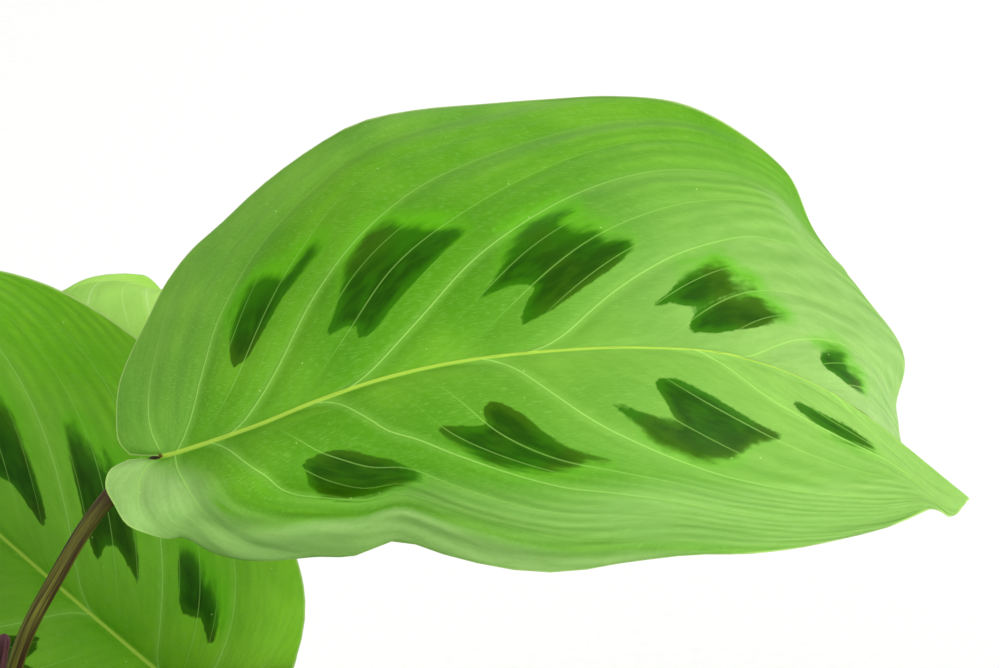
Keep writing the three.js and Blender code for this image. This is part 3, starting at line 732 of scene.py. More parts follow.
@dataclass(frozen=True)
class LivingLeaf:
    """A living leaf with its waxy skin: satin, never glossy, with light in its greens.

    The skin's fine pleats and cross veins break the light into a soft grain, and the
    blotches lie under it as if they were stained into the leaf. Some light and shade is
    painted into its colour: a pale highlight, and shade beside the blotches and in the
    pleats' troughs.
    """

    name: str = "living leaf, satin skin"
    bright: str = "76b129"
    deep: str = "5a991a"
    inner: str = "90c648"
    # Darker green of the mottle and streaks, and of the painted shade in the pleats' troughs.
    groove: str = "3f7f12"
    # Colour of the painted shade beside the blotches.
    shade: str = "4f9012"
    vein: str = "9ed562"
    rib: str = "aed44a"
    glow: str = "5cb008"
    blotch: str = "2f6c02"
    blotch_brown: str = "3a5806"
    blotch_deep: str = "1b4401"
    rim: str = "b4d878"
    # Pale, greyish colour of the painted highlight.
    pale_tint: str = "b0cf88"
    under: str = "9dbb7e"
    under_vein: str = "cfe0b4"
    flush: str = "7d6a70"
    scar: str = "5a3a1a"
    blotch_strength: float = 1.0
    pleats_per_vein: float = 5.0
    roughness: float = 0.46
    specular: float = 0.06  # its wax is broken up too finely to mirror much

    def material(self) -> bpy.types.Material:
        """Builds the material, which reads the fields that each blade carries.

        Returns:
            the material
        """
        material, tree = new_material(self.name)
        node = partial(add_node, tree)
        read = {
            field: node("Attribute", {}, "Fac", attribute_name=field)
            for field in (
                "vein", "out", "along_mm", "pitch_mm", "rib_share", "edge_mm", "scar_mm", "blotch_mm",
                "blotch_soft", "pale", "pleated", "finely_veined", "under",
            )  # fmt: skip
        }
        vein, out, pitch, soft = (read[field] for field in ("vein", "out", "pitch_mm", "blotch_soft"))
        place = node("TexCoord", {}, "Object")
        # A cloudy tone, 14 mm across, and a finer mottle of 0.9 mm.
        cloud, mottle = (
            node("TexNoise", {"Vector": place, "Scale": 1 / (size * MM), "Detail": detail})
            for size, detail in ((14, 2.0), (0.9, 4.0))
        )
        flecks = node("TexVoronoi", {"Vector": place, "Scale": 1 / (4.5 * MM)}, "Distance")
        # Noise on the skin itself, where x counts veins and y is millimetres along them: twelve
        # streaks from one main vein to the next, 5 mm long; the bends of the pleats; and cross
        # veins, 0.2 mm apart and 0.8 mm long.
        skin = node("CombineXYZ", {0: vein, 1: read["along_mm"], 2: read["under"]})
        streak, bend, cross = (
            node(
                "TexNoise",
                {
                    "Vector": node("VectorMath", {0: skin, 1: stretch}, operation="MULTIPLY"),
                    "Scale": 1.0,
                    "Detail": detail,
                },
            )
            for stretch, detail in (
                ((12.0, 0.2, 1.0), 2.0), ((1.3, 0.04, 1.0), 1.0), ((13.0, 4.6, 1.0), 2.0)
            )
        )  # fmt: skip
        # Each of these masks is 0 at its first number and 1 at its second.
        mask = {
            name: node("MapRange", {0: value, 1: start, 2: end}, interpolation_type="SMOOTHSTEP")
            for name, value, start, end in (
                ("cloudy", cloud, 0.3, 0.7),
                ("in a brown cloud", cloud, 0.42, 0.58),
                ("in a pleated cloud", cloud, 0.25, 0.6),
                ("in a flushed cloud", cloud, 0.35, 0.65),
                ("mottled", mottle, 0.35, 0.65),
                ("streaky", streak, 0.35, 0.65),
                ("in a dark streak", streak, 0.3, 0.62),
                ("on a cross vein", cross, 0.42, 0.7),
                ("on a fleck", flecks, 0.045, 0.025),
                ("room for pleats", pitch, 1.0, 5.0),
                ("room for veins", pitch, 1.5, 4.0),
                ("before the margin", out, 1.05, 0.3),
                ("near the midrib", out, 0.9, 0.1),
                ("past the notch", vein, 0.4, 0.9),
                ("past the first vein", vein, 2.2, 4.0),
                ("towards the tip", vein, 3.5, 6.5),
                ("before the tip", vein, 7.9, 6.5),
                ("well before the tip", vein, 6.5, 4.0),
                ("rib not yet thin", vein, 8.5, 5.2),
                ("on the rib", read["rib_share"], 1.25, 0.5),
                ("at the edge", read["edge_mm"], 0.35, 0.08),
                ("on the scar", read["scar_mm"], 0.7, 0.3),
                ("beside a blotch", read["blotch_mm"], -13.0, -1.0),
                ("on a crisp edge", soft, 0.9, 0.1),
            )
        }
        dash = overlap(tree, (mask["on a cross vein"], mask["mottled"]))

        # Pleats: soft parallel folds from one main vein to the next, never quite even. They
        # raise the bump, and paint shade into their troughs.
        bend = node("Math", {0: bend, 1: 5.0}, operation="MULTIPLY")
        turn = 2 * math.pi * self.pleats_per_vein
        turn = node("Math", {0: vein, 1: turn, 2: bend}, operation="MULTIPLY_ADD")
        wave = node("Math", {0: turn}, operation="SINE")
        wave = node("Math", {0: wave, 1: 0.5, 2: 0.5}, operation="MULTIPLY_ADD")
        fading = (mask["in a pleated cloud"], mask["room for pleats"])
        pleat = overlap(tree, (wave, read["pleated"], *fading))

        # Lines along the veins, by their places among the main ones and their widths in mm.
        ends = ("before the margin", "past the notch", "before the tip", "room for veins")
        reach = overlap(tree, [mask[name] for name in ends])
        lines = []
        for offset, width in ((0.0, 0.2), (0.0, 1.5), (HALF_VEIN, 0.16), (0.28, 0.13), (0.78, 0.13)):
            near = node("Math", {0: vein, 1: offset}, operation="SUBTRACT")
            near = node("Math", {0: near, 1: 0.5}, operation="PINGPONG")
            near = node("Math", {0: near, 1: pitch}, operation="MULTIPLY")
            inputs = {0: near, 1: width, 2: 0.25 * width}
            line = node("MapRange", inputs, interpolation_type="SMOOTHSTEP")
            lines.append(overlap(tree, (line, reach)))
        main, halo, half, *quarters = lines
        half = overlap(tree, (half, read["finely_veined"]))
        quarter = node("Math", dict(enumerate(quarters)), operation="ADD")
        quarter = overlap(tree, (quarter, read["finely_veined"]))

        # Blotches: streaks and mottle make the edge ragged, most of all where it is soft.
        ragged = node("Math", {0: soft, 1: 3.2, 2: 0.6}, operation="MULTIPLY_ADD")
        depth = node("Math", {0: streak, 1: 0.5}, operation="SUBTRACT")
        depth = node("Math", {0: depth, 1: ragged, 2: read["blotch_mm"]}, operation="MULTIPLY_ADD")
        grain = node("Math", {0: mottle, 1: 0.5}, operation="SUBTRACT")
        depth = node("Math", {0: grain, 1: 0.5, 2: depth}, operation="MULTIPLY_ADD")
        width = node("Math", {0: soft, 1: 1.3, 2: 0.2}, operation="MULTIPLY_ADD")
        outside = node("Math", {0: width, 1: -1.0}, operation="MULTIPLY")
        glow_start = node("Math", {0: soft, 1: -4.2, 2: -0.4}, operation="MULTIPLY_ADD")
        inside, core, glow = (
            node("MapRange", {0: depth, 1: start, 2: end}, interpolation_type="SMOOTHSTEP")
            for start, end in ((outside, width), (0.2, 1.6), (glow_start, 0.4))
        )
        blotch = overlap(tree, (inside, self.blotch_strength))
        plain = node("Math", {0: 1.0, 1: blotch}, operation="SUBTRACT")
        mostly_blotch = node("Math", {0: blotch, 1: 0.8, 2: 0.2}, operation="MULTIPLY_ADD")
        streaky = {0: mask["in a dark streak"], 1: 0.55, 2: 0.45}
        streaky = node("Math", streaky, operation="MULTIPLY_ADD")

        places = ("beside a blotch", "well before the tip", "past the first vein")
        painted_shade_places = [mask[name] for name in places]
        above = coats(
            tree,
            linear(self.deep),
            (
                ((0.65, mask["cloudy"]), self.bright),
                ((0.5, mask["towards the tip"]), self.inner),
                # Painted shade beside the blotches, fading towards the notch and the tip.
                ((0.8, *painted_shade_places), self.shade),
                # Painted highlight: a pale, greyish sheen where the light falls fully.
                ((0.62, read["pale"]), self.pale_tint),
                ((0.28, mottle), self.groove),
                ((0.14, mask["streaky"]), self.groove),
                ((0.22, dash), self.vein),
                # Painted shade in the pleats' troughs.
                ((0.34, pleat), self.groove),
                ((0.85, glow, soft), self.glow),
                ((blotch,), self.blotch),
                ((0.65, blotch, mask["in a brown cloud"]), self.blotch_brown),
                ((0.85, core, mask["on a crisp edge"], blotch, streaky), self.blotch_deep),
                ((0.14, halo, plain), self.vein),
                ((0.32, quarter, mostly_blotch), self.vein),
                ((0.36, half), self.vein),
                ((0.62, main), self.vein),
                ((0.9, mask["on the rib"], mask["rib not yet thin"]), self.rib),
                ((0.5, mask["on a fleck"]), self.rim),
                ((0.7, mask["at the edge"]), self.rim),
                ((0.9, mask["on the scar"]), self.scar),
            ),
        )
        below = coats(
            tree,
            linear(self.under),
            (
                ((0.55, mask["in a flushed cloud"], mask["near the midrib"]), self.flush),
                # Painted shade in the pleats' troughs.
                ((0.3, pleat), self.groove),
                ((0.3, dash), self.under_vein),
                ((0.35, blotch), self.blotch),
                ((0.5, half), self.under_vein),
                ((main,), self.under_vein),
                ((mask["on the rib"],), self.under_vein),
            ),
        )
        height = node("Math", {0: dash, 1: 0.12}, operation="MULTIPLY")
        height = node("Math", {0: pleat, 1: -1.0, 2: height}, operation="MULTIPLY_ADD")
        height = node("Math", {0: main, 1: 0.5, 2: height}, operation="MULTIPLY_ADD")
        rough = {0: mottle, 1: 0.16, 2: self.roughness - 0.08}
        shader = node(
            "BsdfPrincipled",
            {
                "Base Color": coats(tree, above, (((read["under"],), below),)),
                "Roughness": node("Math", rough, operation="MULTIPLY_ADD"),
                "Normal": node("Bump", {"Height": height, "Distance": 0.1 * MM, "Strength": 0.75}),
                "Specular IOR Level": self.specular,
            },
        )
        node("OutputMaterial", {"Surface": shader})
        return material


YOUNG_LEAF = LivingLeaf(
    name="young leaf, satin skin", bright="b4e668", deep="a2da50", inner="b8e870", groove="8cc247",
    vein="cbee95", rib="cdeb86", glow="a2d85a", blotch="93c94a", blotch_brown="93c94a",
    blotch_deep="8cc247", pale_tint="b4e278", blotch_strength=0.15,
)  # fmt: skip
# Painted brighter than the grown leaf throughout, its painted shade too, as if light shone through it.
BACKLIT_LEAF = LivingLeaf(
    name="backlit leaf, satin skin", bright="86c827", deep="69b218", pale_tint="9cd840", shade="7cbc34"
)


@dataclass(frozen=True)
class FibrousStalk:
    """A living stalk: fibres run its length, with a dull skin shine between them."""

    name: str = "fibrous stalk, satin"
    green: str = "6b6b1e"
    brown: str = "2e150b"
    sheath: str = "6f7c38"
    joint: str = "453018"
    joint_light: str = "70592c"
    bud: str = "43202b"
    bud_light: str = "84505a"
    hair: str = "cdbfa4"
    roughness: float = 0.5
    ior: float = 1.33  # of tissue that is mostly water

    def material(self) -> bpy.types.Material:
        """Builds the material, which reads the fields that each shoot carries.

        Returns:
            the material
        """
        material, tree = new_material(self.name)
        node = partial(add_node, tree)
        read = {
            field: node("Attribute", {}, "Fac", attribute_name=field)
            for field in ("along_mm", "round_x", "round_y", "joint", "sheath", "bud", "hair")
        }
        ring = node("CombineXYZ", {0: read["round_x"], 1: read["round_y"], 2: read["along_mm"]})
        place = node("TexCoord", {}, "Object")
        cloud = node("TexNoise", {"Vector": place, "Scale": 1 / (9 * MM), "Detail": 3.0})
        specks = node("TexVoronoi", {"Vector": place, "Scale": 1 / (0.6 * MM)}, "Distance")
        # Bundles about 1 mm apart round the stalk, and threads of a third of that in them.
        bundles, threads = (
            node(
                "TexNoise",
                {
                    "Vector": node("VectorMath", {0: ring, 1: stretch}, operation="MULTIPLY"),
                    "Scale": 1.0,
                    "Detail": 3.0,
                },
            )
            for stretch in ((2.2, 2.2, 0.05), (7.0, 7.0, 0.12))
        )
        bundle, thread, speck = (
            node("MapRange", {0: value, 1: start, 2: end}, interpolation_type="SMOOTHSTEP")
            for value, start, end in ((bundles, 0.38, 0.62), (threads, 0.38, 0.62), (specks, 0.3, 0.15))
        )
        joint = coats(tree, linear(self.joint), (((0.5, speck), self.joint_light),))
        bud = coats(tree, linear(self.bud), (((0.7, thread), self.bud_light),))
        colour = coats(
            tree,
            linear(self.green),
            (
                ((bundle,), self.brown),
                ((0.45, thread), self.brown),
                ((read["sheath"], cloud), self.sheath),
                ((read["joint"],), joint),
                ((read["bud"],), bud),
                ((read["hair"],), self.hair),
            ),
        )
        height = node("Math", {0: thread, 1: bundle}, operation="ADD")
        bump = node("Bump", {"Height": height, "Distance": 0.12 * MM, "Strength": 0.6})
        inputs = {"Base Color": colour, "Roughness": self.roughness, "Normal": bump, "IOR": self.ior}
        node("OutputMaterial", {"Surface": node("BsdfPrincipled", inputs)})
        return material


@dataclass(frozen=True)
class PressedTerracotta:
    """Unglazed clay, turned and fired: dry and matt, with sand in it and salts on it."""

    name: str = "terracotta, unglazed"
    clay: str = "b5643c"
    light: str = "c98258"
    dark: str = "94492a"
    # Pale salts bloomed out on the clay.
    pale_tint: str = "dcc3ab"
    damp: str = "7a3f27"
    roughness: float = 0.86

    def material(self) -> bpy.types.Material:
        """Builds the material, which reads the height field of the pot.

        Returns:
            the material
        """
        material, tree = new_material(self.name)
        node = partial(add_node, tree)
        place = node("TexCoord", {}, "Object")
        level = node("Attribute", {}, "Fac", attribute_name="height_mm")
        # Patches of salt, 30 mm across, broken by a grain of 6 mm, and sand of 0.9 mm.
        patches, grains, sand = (
            node("TexNoise", {"Vector": place, "Scale": 1 / (size * MM), "Detail": 4.0})
            for size in (30.0, 6.0, 0.9)
        )
        specks = node("TexVoronoi", {"Vector": place, "Scale": 1 / (2.2 * MM)}, "Distance")
        # Turning marks, 2.4 mm apart up the wall and 80 mm long.
        turned = node("VectorMath", {0: place, 1: (12.0, 12.0, 420.0)}, operation="MULTIPLY")
        marks = node("TexNoise", {"Vector": turned, "Scale": 1.0, "Detail": 3.0})
        high, patchy, grain, fleck = (
            node("MapRange", {0: value, 1: start, 2: end}, interpolation_type="SMOOTHSTEP")
            for value, start, end in (
                (level, 62.0, 100.0), (patches, 0.47, 0.66), (grains, 0.4, 0.7), (specks, 0.16, 0.08)
            )
        )  # fmt: skip
        colour = coats(
            tree,
            linear(self.clay),
            (
                ((0.6, grain), self.light),
                ((0.45, marks), self.dark),
                ((0.3, high), self.damp),
                ((0.28, patchy, grain), self.pale_tint),
                ((0.5, fleck), self.dark),
            ),
        )
        height = node("Math", {0: marks, 1: 0.25, 2: sand}, operation="MULTIPLY_ADD")
        bump = node("Bump", {"Height": height, "Distance": 0.25 * MM, "Strength": 0.5})
        inputs = {"Base Color": colour, "Roughness": self.roughness, "Normal": bump}
        node("OutputMaterial", {"Surface": node("BsdfPrincipled", inputs)})
        return material


@dataclass(frozen=True)
class PeatAndBark:
    """Damp potting soil: dark crumbs of peat, torn bark and a few white grains."""

    name: str = "potting soil, peat and bark"
    peat: str = "2b1d13"
    dry: str = "4a3626"
    bark: str = "6a4526"
    white: str = "d9d3c6"
    roughness: float = 0.95

    def material(self) -> bpy.types.Material:
        """Builds the material, which reads what kind of crumb each vertex is on.

        Returns:
            the material
        """
        material, tree = new_material(self.name)
        node = partial(add_node, tree)
        place = node("TexCoord", {}, "Object")
        # Crumbs of 1.1 mm, and drier places 11 mm across.
        fine, broad = (
            node("TexNoise", {"Vector": place, "Scale": 1 / (size * MM), "Detail": detail})
            for size, detail in ((1.1, 5.0), (11, 3.0))
        )
        dry = {0: overlap(tree, (fine, broad)), 1: 0.18, 2: 0.38}
        dry = node("MapRange", dry, interpolation_type="SMOOTHSTEP")
        bark, white = (
            node("Attribute", {}, "Fac", attribute_name=field) for field in ("bark", "white")
        )
        layers = (((dry,), self.dry), ((bark,), self.bark), ((white,), self.white))
        colour = coats(tree, linear(self.peat), layers)
        bump = node("Bump", {"Height": fine, "Distance": 0.6 * MM, "Strength": 0.8})
        inputs = {"Base Color": colour, "Roughness": self.roughness, "Normal": bump}
        node("OutputMaterial", {"Surface": node("BsdfPrincipled", inputs)})
        return material


@dataclass(frozen=True)
class SeamlessPaper:
    """The floor's matt white paper, with a barely visible tooth."""

    name: str = "seamless paper, matt"
    white: str = "fbfbfa"
    shade: str = "f3f3f1"
    roughness: float = 0.9

    def material(self) -> bpy.types.Material:
        """Builds the material.

        Returns:
            the material
        """
        material, tree = new_material(self.name)
        place = add_node(tree, "TexCoord", {}, "Object")
        # A tooth of 3.3 mm, coarser than the paper's own, so that it shows.
        tooth = add_node(tree, "TexNoise", {"Vector": place, "Scale": 1 / (10 / 3 * MM), "Detail": 3.0})
        colour = coats(tree, linear(self.white), (((tooth,), self.shade),))
        inputs = {"Base Color": colour, "Roughness": self.roughness}
        add_node(tree, "OutputMaterial", {"Surface": add_node(tree, "BsdfPrincipled", inputs)})
        return material


# ---- leaves -------------------------------------------------------------------------


@dataclass
class Leaf:
    """One blade: a thin closed sheet with its veins and its blotches."""

    name: str
    form: BladeForm
    placing: Matrix
    blotches: Mapping[Half, Sequence[Outline]]
    material: bpy.types.Material
    slot: Slot = Slot.LEAF
    steps_per_vein: int = 12
    row_crowding: float = 1.4  # above 1, rows stand closer beside the main veins
    out_steps: int = 34
    out_crowding: float = 1.5  # above 1, steps are shorter near the midrib
    midrib_steps: int = 159
    thickness: float = 0.36
    rim_thin: float = 0.55  # thickness at the rim, against the rest
    rim_breadth: float = 1.5
    valley: float = 0.45  # depth of the fold that each side vein lies in
    valley_breadth: float = 1.9
    fine_valley: float = 0.45  # depth of a finer vein's fold, against a side vein's
    fine_valley_breadth: float = 1.4
    groove: float = 0.5  # depth of the fold that the midrib lies in
    groove_breadth: float = 2.0
    cord: float = 0.26  # height of the midrib above that fold
    cord_below: float = 2.2  # how far it stands out below, against above
    thread: float = 0.08  # height of a side vein's own thread
    thread_below: float = 0.25
    thread_breadth: float = 0.25
    rib_half: tuple[float, float] = (0.56, 0.1)  # its half width at the stalk and the tip
    rib_taper: float = 0.8  # below 1, it thins sooner
    is_front: bool = False
    lower_soft: float = 0.5  # softness of blotches on the front blade's lower half, of the rest's
    lobe_painted_highlight: float = 0.2  # how strongly the painted highlight lightens the lobes beside the notch

    def rows(self) -> np.ndarray:
        """Lays out the mesh's rows, which stand closer beside the main veins.

        Returns:
            the vein number of each row
        """
        share = np.arange(self.steps_per_vein) / self.steps_per_vein
        near = 0.5 * (2 * np.minimum(share, 1 - share)) ** self.row_crowding
        one = np.where(share < 0.5, near, 1 - near)
        return np.append((np.arange(VEINS)[:, None] + one).ravel(), VEINS)

    def surface(self, half: Half) -> tuple[np.ndarray, Fields]:
        """Lays out one half.

        Args:
            half: the half

        Returns:
            its points on a grid of rows and steps out, and the fields on that grid
        """
        rows = self.rows()
        outs = (np.arange(self.out_steps + 1) / self.out_steps) ** self.out_crowding
        vein, out = np.meshgrid(rows, outs, indexing="ij")
        points = self.form.points(half, vein, out)
        across = np.gradient(points, rows, axis=0)
        along = np.gradient(points, outs, axis=1)
        area = np.linalg.norm(np.cross(across, along), axis=-1)
        spacing = area / np.maximum(np.linalg.norm(along, axis=-1), 1e-6)
        steps = np.linalg.norm(np.diff(points, axis=1), axis=-1)
        travelled = np.concatenate([np.zeros((len(rows), 1)), np.cumsum(steps, axis=1)], axis=1)
        midrib = smooth_row(self.form.midrib, np.linspace(0, 1, self.midrib_steps + 1))
        thick, thin = self.rib_half
        rib = thick + (thin - thick) * (vein / VEINS) ** self.rib_taper
        edge = np.concatenate([points[0], points[1:, -1]])
        blotched = blotch_fields(self.form, half, self.blotches[half], vein, out)
        if self.is_front and half is Half.RIGHT:
            blotched["blotch_soft"] *= self.lower_soft
        fields = {
            "vein": vein,
            "out": out,
            "along_mm": travelled,
            "pitch_mm": spacing,
            "rib_share": away_from(points, midrib) / rib,
            "edge_mm": away_from(points, edge),
            "scar_mm": np.linalg.norm(points - midrib[0], axis=-1),
            "pale": self.pale(half, vein, out),
            "pleated": self.pleated(half, vein, out),
            "finely_veined": self.finely_veined(half, vein, out),
            **blotched,
        }
        return points, fields

    def pale(self, half: Half, vein: np.ndarray, out: np.ndarray) -> np.ndarray:
        """How strongly a pale, greyish painted highlight lightens the skin.

        Args:
            half: the half
            vein: vein numbers
            out: shares of the way out

        Returns:
            values from 0 to 1
        """
        # Other blades get the painted highlight only in the lobes beside the notch.
        if not self.is_front:
            return self.lobe_painted_highlight * ease(out, 0.05, 0.5) * ease(3.2 - vein, 0, 2.2)
        # Painted highlight, which grows towards the tip and the margin.
        towards_tip = ease(vein + 1.5 * out, 4.4, 7.5)
        # The upper half gets the painted highlight on its shoulder by the margin, and a little beside
        # the notch.
        if half is Half.LEFT:
            shoulder = 0.7 * ease(out, 0.75, 0.9) * ease(vein, 3.9, 4.3)
            return np.max([towards_tip, shoulder, 0.2 * ease(2.4 - vein, 0, 0.8)], axis=0)
        # The lower half gets the painted highlight in its lobe, but for one spot left dark as
        # if shaded, beyond its crease, and among its outer pleats.
        lobe = ease(out, 0.05, 0.5) * ease(2.7 - vein, 0, 0.7)
        spot = np.exp(-(((vein - 2.31) / 0.06) ** 2) - ((out - 0.63) / 0.055) ** 2)
        beyond_fold = ease(out - front_fold(vein), -0.02, 0.06) * ease(2.95 - vein, 0, 0.3)
        pleats = 0.6 * ease(out, 0.53, 0.75) * ease(vein, 2.6, 3.2)
        return np.max([lobe * (1 - spot), beyond_fold, pleats, 0.55 * towards_tip], axis=0)

    def pleated(self, half: Half, vein: np.ndarray, out: np.ndarray) -> np.ndarray:
        """How strongly the skin is pleated.

        Args:
            half: the half
            vein: vein numbers
            out: shares of the way out

        Returns:
            values from 0 to 1
        """
        first = 1.2
        if self.is_front:
            first = 2.6 if half is Half.LEFT else 1.9
        return ease(vein, first, first + 1.2) * ease(out, 0.3, 0.8)

    def finely_veined(self, half: Half, vein: np.ndarray, out: np.ndarray) -> np.ndarray:
        """How clearly the finer veins between the side veins show.

        Args:
            half: the half
            vein: vein numbers
            out: shares of the way out

        Returns:
            values from 0 to 1
        """
        first = 2.7 if self.is_front and half is Half.RIGHT else 1.8
        return ease(vein, first, first + 0.5) * ease(out, 0.04, 0.3)

    def relief(self, fields: Fields) -> tuple[np.ndarray, np.ndarray]:
        """Height of the veins' folds and cords above the plain form.

        Args:
            fields: the fields of every point

        Returns:
            heights of the upper face and of the lower face
        """
        vein = fields["vein"]
        main_mm = np.abs(vein - np.clip(np.round(vein), 1, VEINS - 1)) * fields["pitch_mm"]
        half_mm = np.abs(vein - np.floor(vein) - HALF_VEIN) * fields["pitch_mm"]
        # The folds fade towards the notch, the tip and the midrib, where veins crowd, and in
        # part towards the margin.
        window = ease(vein, 0.5, 1.8) * ease(VEINS - vein, 0.1, 1.0)
        rib_mm = fields["rib_share"] * self.rib_half[0]
        beside = window * ease(rib_mm, 0.3, 3.0) * ease(fields["pitch_mm"], 1.0, 4.0)
        beside = beside * (0.3 + 0.7 * ease(fields["edge_mm"], 0, 5.0))
        fold = -self.valley * beside * np.exp(-((main_mm / self.valley_breadth) ** 2))
        fine = beside * np.exp(-((half_mm / self.fine_valley_breadth) ** 2))
        fold -= self.fine_valley * self.valley * fine
        groove = np.exp(-((rib_mm / self.groove_breadth) ** 2)) * ease(VEINS - vein, 0.5, 4.0)
        fold -= self.groove * groove
        # The midrib's cord is round and grows lower near the tip.
        cord = self.cord * np.sqrt(np.clip(1 - fields["rib_share"] ** 2, 0, 1))
        cord = cord * (0.35 + 0.65 * ease(VEINS - vein, 0, 5))
        thread = window * np.exp(-((main_mm / self.thread_breadth) ** 2))
        thread = thread * ease(1.1 - fields["out"], 0, 0.9)
        upper = fold + cord + self.thread * thread
        return upper, fold - self.cord_below * cord - self.thread_below * thread

    def sheet(self) -> tuple[np.ndarray, Fields, np.ndarray, np.ndarray, np.ndarray]:
        """Joins both halves at the midrib and the tip.

        Returns:
            points, fields, faces with four and with three corners, and the rim's points in order
        """
        grids, parts, fours, start = {}, [], [], 0
        for half in Half:
            points, fields = self.surface(half)
            number = np.arange(points[..., 0].size).reshape(points.shape[:2]) + start
            start += number.size
            first = grids.get(Half.LEFT, number)
            number[:, 0], number[-1] = first[:, 0], first[-1, 0]
            grids[half] = number
            parts.append((points.reshape(-1, 3), [], {f: v.ravel() for f, v in fields.items()}))
            corners = (number[:-1, :-1], number[1:, :-1], number[1:, 1:], number[:-1, 1:])
            four = np.stack([corner.ravel() for corner in corners], -1)
            fours.append(four if half is Half.LEFT else four[:, ::-1])
        points, _, fields = joined(parts)
        faces = np.concatenate(fours)
        pinched = (faces == np.roll(faces, -1, axis=1)).any(axis=1)
        corners = [list(dict.fromkeys(face)) for face in faces[pinched].tolist()]
        tips = np.array([face for face in corners if len(face) == 3])
        left, right = grids[Half.LEFT], grids[Half.RIGHT]
        rim = np.concatenate([right[0, :-1], right[:-1, -1], left[:0:-1, -1], left[0, :0:-1]])
        quads = faces[~pinched]
        used = np.unique(np.concatenate([quads.ravel(), tips.ravel(), rim]))
        quads, tips, rim = (np.searchsorted(used, old) for old in (quads, tips, rim))
        return points[used], {f: v[used] for f, v in fields.items()}, quads, tips, rim

    def build(self) -> bpy.types.Object:
        """Thickens the sheet into a closed blade, with a round rim.

        Returns:
            the finished blade, in its place
        """
        points, fields, quads, tips, rim = self.sheet()
        normals = np.zeros_like(points)
        for faces in (quads, tips):
            across = points[faces[:, 2]] - points[faces[:, 0]]
            normal = np.cross(across, points[faces[:, -1]] - points[faces[:, 1]])
            for corner in faces.T:
                np.add.at(normals, corner, normal)
        normals /= np.linalg.norm(normals, axis=1, keepdims=True)
        above, below = self.relief(fields)
        thinned = self.rim_thin + (1 - self.rim_thin) * ease(fields["edge_mm"], 0, self.rim_breadth)
        thin = 0.5 * self.thickness * thinned
        upper = points + normals * (above + thin)[:, None]
        lower = points + normals * (below - thin)[:, None]
        loop = points[rim]
        outwards = np.cross(np.roll(loop, -1, 0) - np.roll(loop, 1, 0), normals[rim])
        outwards /= np.maximum(np.linalg.norm(outwards, axis=1, keepdims=True), 1e-9)
        middle = (upper[rim] + lower[rim]) / 2 + 0.5 * thin[rim, None] * outwards

        size, ring = len(points), np.arange(len(rim)) + 2 * len(points)
        faces = [*quads.tolist(), *tips.tolist()]
        faces += [*(quads[:, ::-1] + size).tolist(), *(tips[:, ::-1] + size).tolist()]
        ahead, ring_ahead = np.roll(rim, -1), np.roll(ring, -1)
        faces += np.stack([rim + size, ahead + size, ring_ahead, ring], -1).tolist()
        faces += np.stack([ring, ring_ahead, ahead, rim], -1).tolist()
        everything = {
            field: np.concatenate([values, values, values[rim]]) for field, values in fields.items()
        }
        everything["under"] = np.repeat([0.0, 1.0, 0.0], [size, size, len(rim)])
        placed = np.concatenate([upper, lower, middle])
        placed = placed @ np.array(self.placing.to_3x3()).T + np.array(self.placing.translation)
        return make_piece(f"{self.name}_leaf", placed, faces, everything, self.material)

    def dress(self) -> None:
        """Builds the blade and lets it stand for its node."""
        settle(self.build(), f"{self.name}_blade")


@dataclass(frozen=True)
class LeafPlace:
    """Where a common leaf is and how it lies, with its shoot's index, or None for the nearest."""

    name: str
    at: tuple[float, float, float]
    heading: float
    rise: float
    roll: float
    length: float
    droop: float
    shoot: int | None = None
    breadth: float = 1.0
    age: Age = Age.GROWN

    def matrix(self) -> Matrix:
        """The blade's place in the plant."""
        turns = (math.radians(v) for v in (self.roll, -self.rise, self.heading))
        return Matrix.Translation(self.at) @ Euler(tuple(turns), "XYZ").to_matrix().to_4x4()


PLACED_LEAVES = (
    LeafPlace("back_left_large", (31.5, 25.5, 163.2), 144, 21, -55, 123.8, 12.4, 1, 1.13, Age.OLD),
    LeafPlace("back_young", (6.8, 56, 164), 80, 68, 0, 93.3, 95, 2, age=Age.YOUNG),
    LeafPlace("upper_left", (-18, -2, 196), 184, 20, -6, 100, 42, 3),
    LeafPlace("upper_front_left", (-13, -20, 184), 236, 22, 5, 104, 48, 4),
    LeafPlace("upper_front", (8.5, -24, 174.5), 287, 24, -4, 104, 52, 5),
    LeafPlace("upper_right", (24, -8, 165), 346, 16, 0, 104, 42, 5),
    LeafPlace("back_right", (41, 64, 182), 34, 14, -6, 104, 40, 1),
    LeafPlace("back", (-15, 62, 147), 103, 26, 4, 102, 52, 2),
    LeafPlace("back_left", (-44, 40, 142), 152, 14, 0, 98, 48, 3),
)
# Of each ring: name, azimuths, distance from the pot's axis, height, length, rise and droop.
RINGS = (
    ("middle", (182, 223, 262, 311, 358), 40, 143, 104, 28, 62),
    ("low", (0, 46, 84, 128, 176, 224, 272, 318), 54, 118, 102, 22, 64),
)
RING_STAGGER = 4  # how far every other leaf is raised, and the rest lowered


def ring_leaves() -> list[LeafPlace]:
    """Places the leaves of both rings, with small differences between neighbours.

    Returns:
        their places, ring by ring
    """
    leaves = []
    for number, (name, azimuths, radius, height, length, rise, droop) in enumerate(RINGS):
        for index, azimuth in enumerate(azimuths):
            seed = 20 * (number + 1) + index
            angle = math.radians(azimuth)
            lift = -RING_STAGGER if index % 2 else RING_STAGGER
            leaves.append(
                LeafPlace(
                    name=f"{name}_{index + 1}",
                    at=(radius * math.cos(angle), radius * math.sin(angle), height + lift),
                    heading=azimuth + 5 * jitter(seed),
                    rise=rise + 4 * jitter(seed + 0.1),
                    roll=6 * jitter(seed + 0.2),
                    length=length + 6 * jitter(seed + 0.3),
                    droop=droop + 8 * jitter(seed + 0.4),
                )
            )
    return leaves


FRONT_PLACE = Matrix.Translation((30, 0, 225)) @ Matrix.Rotation(math.radians(65), 4, "X")


# ---- stalks -------------------------------------------------------------------------


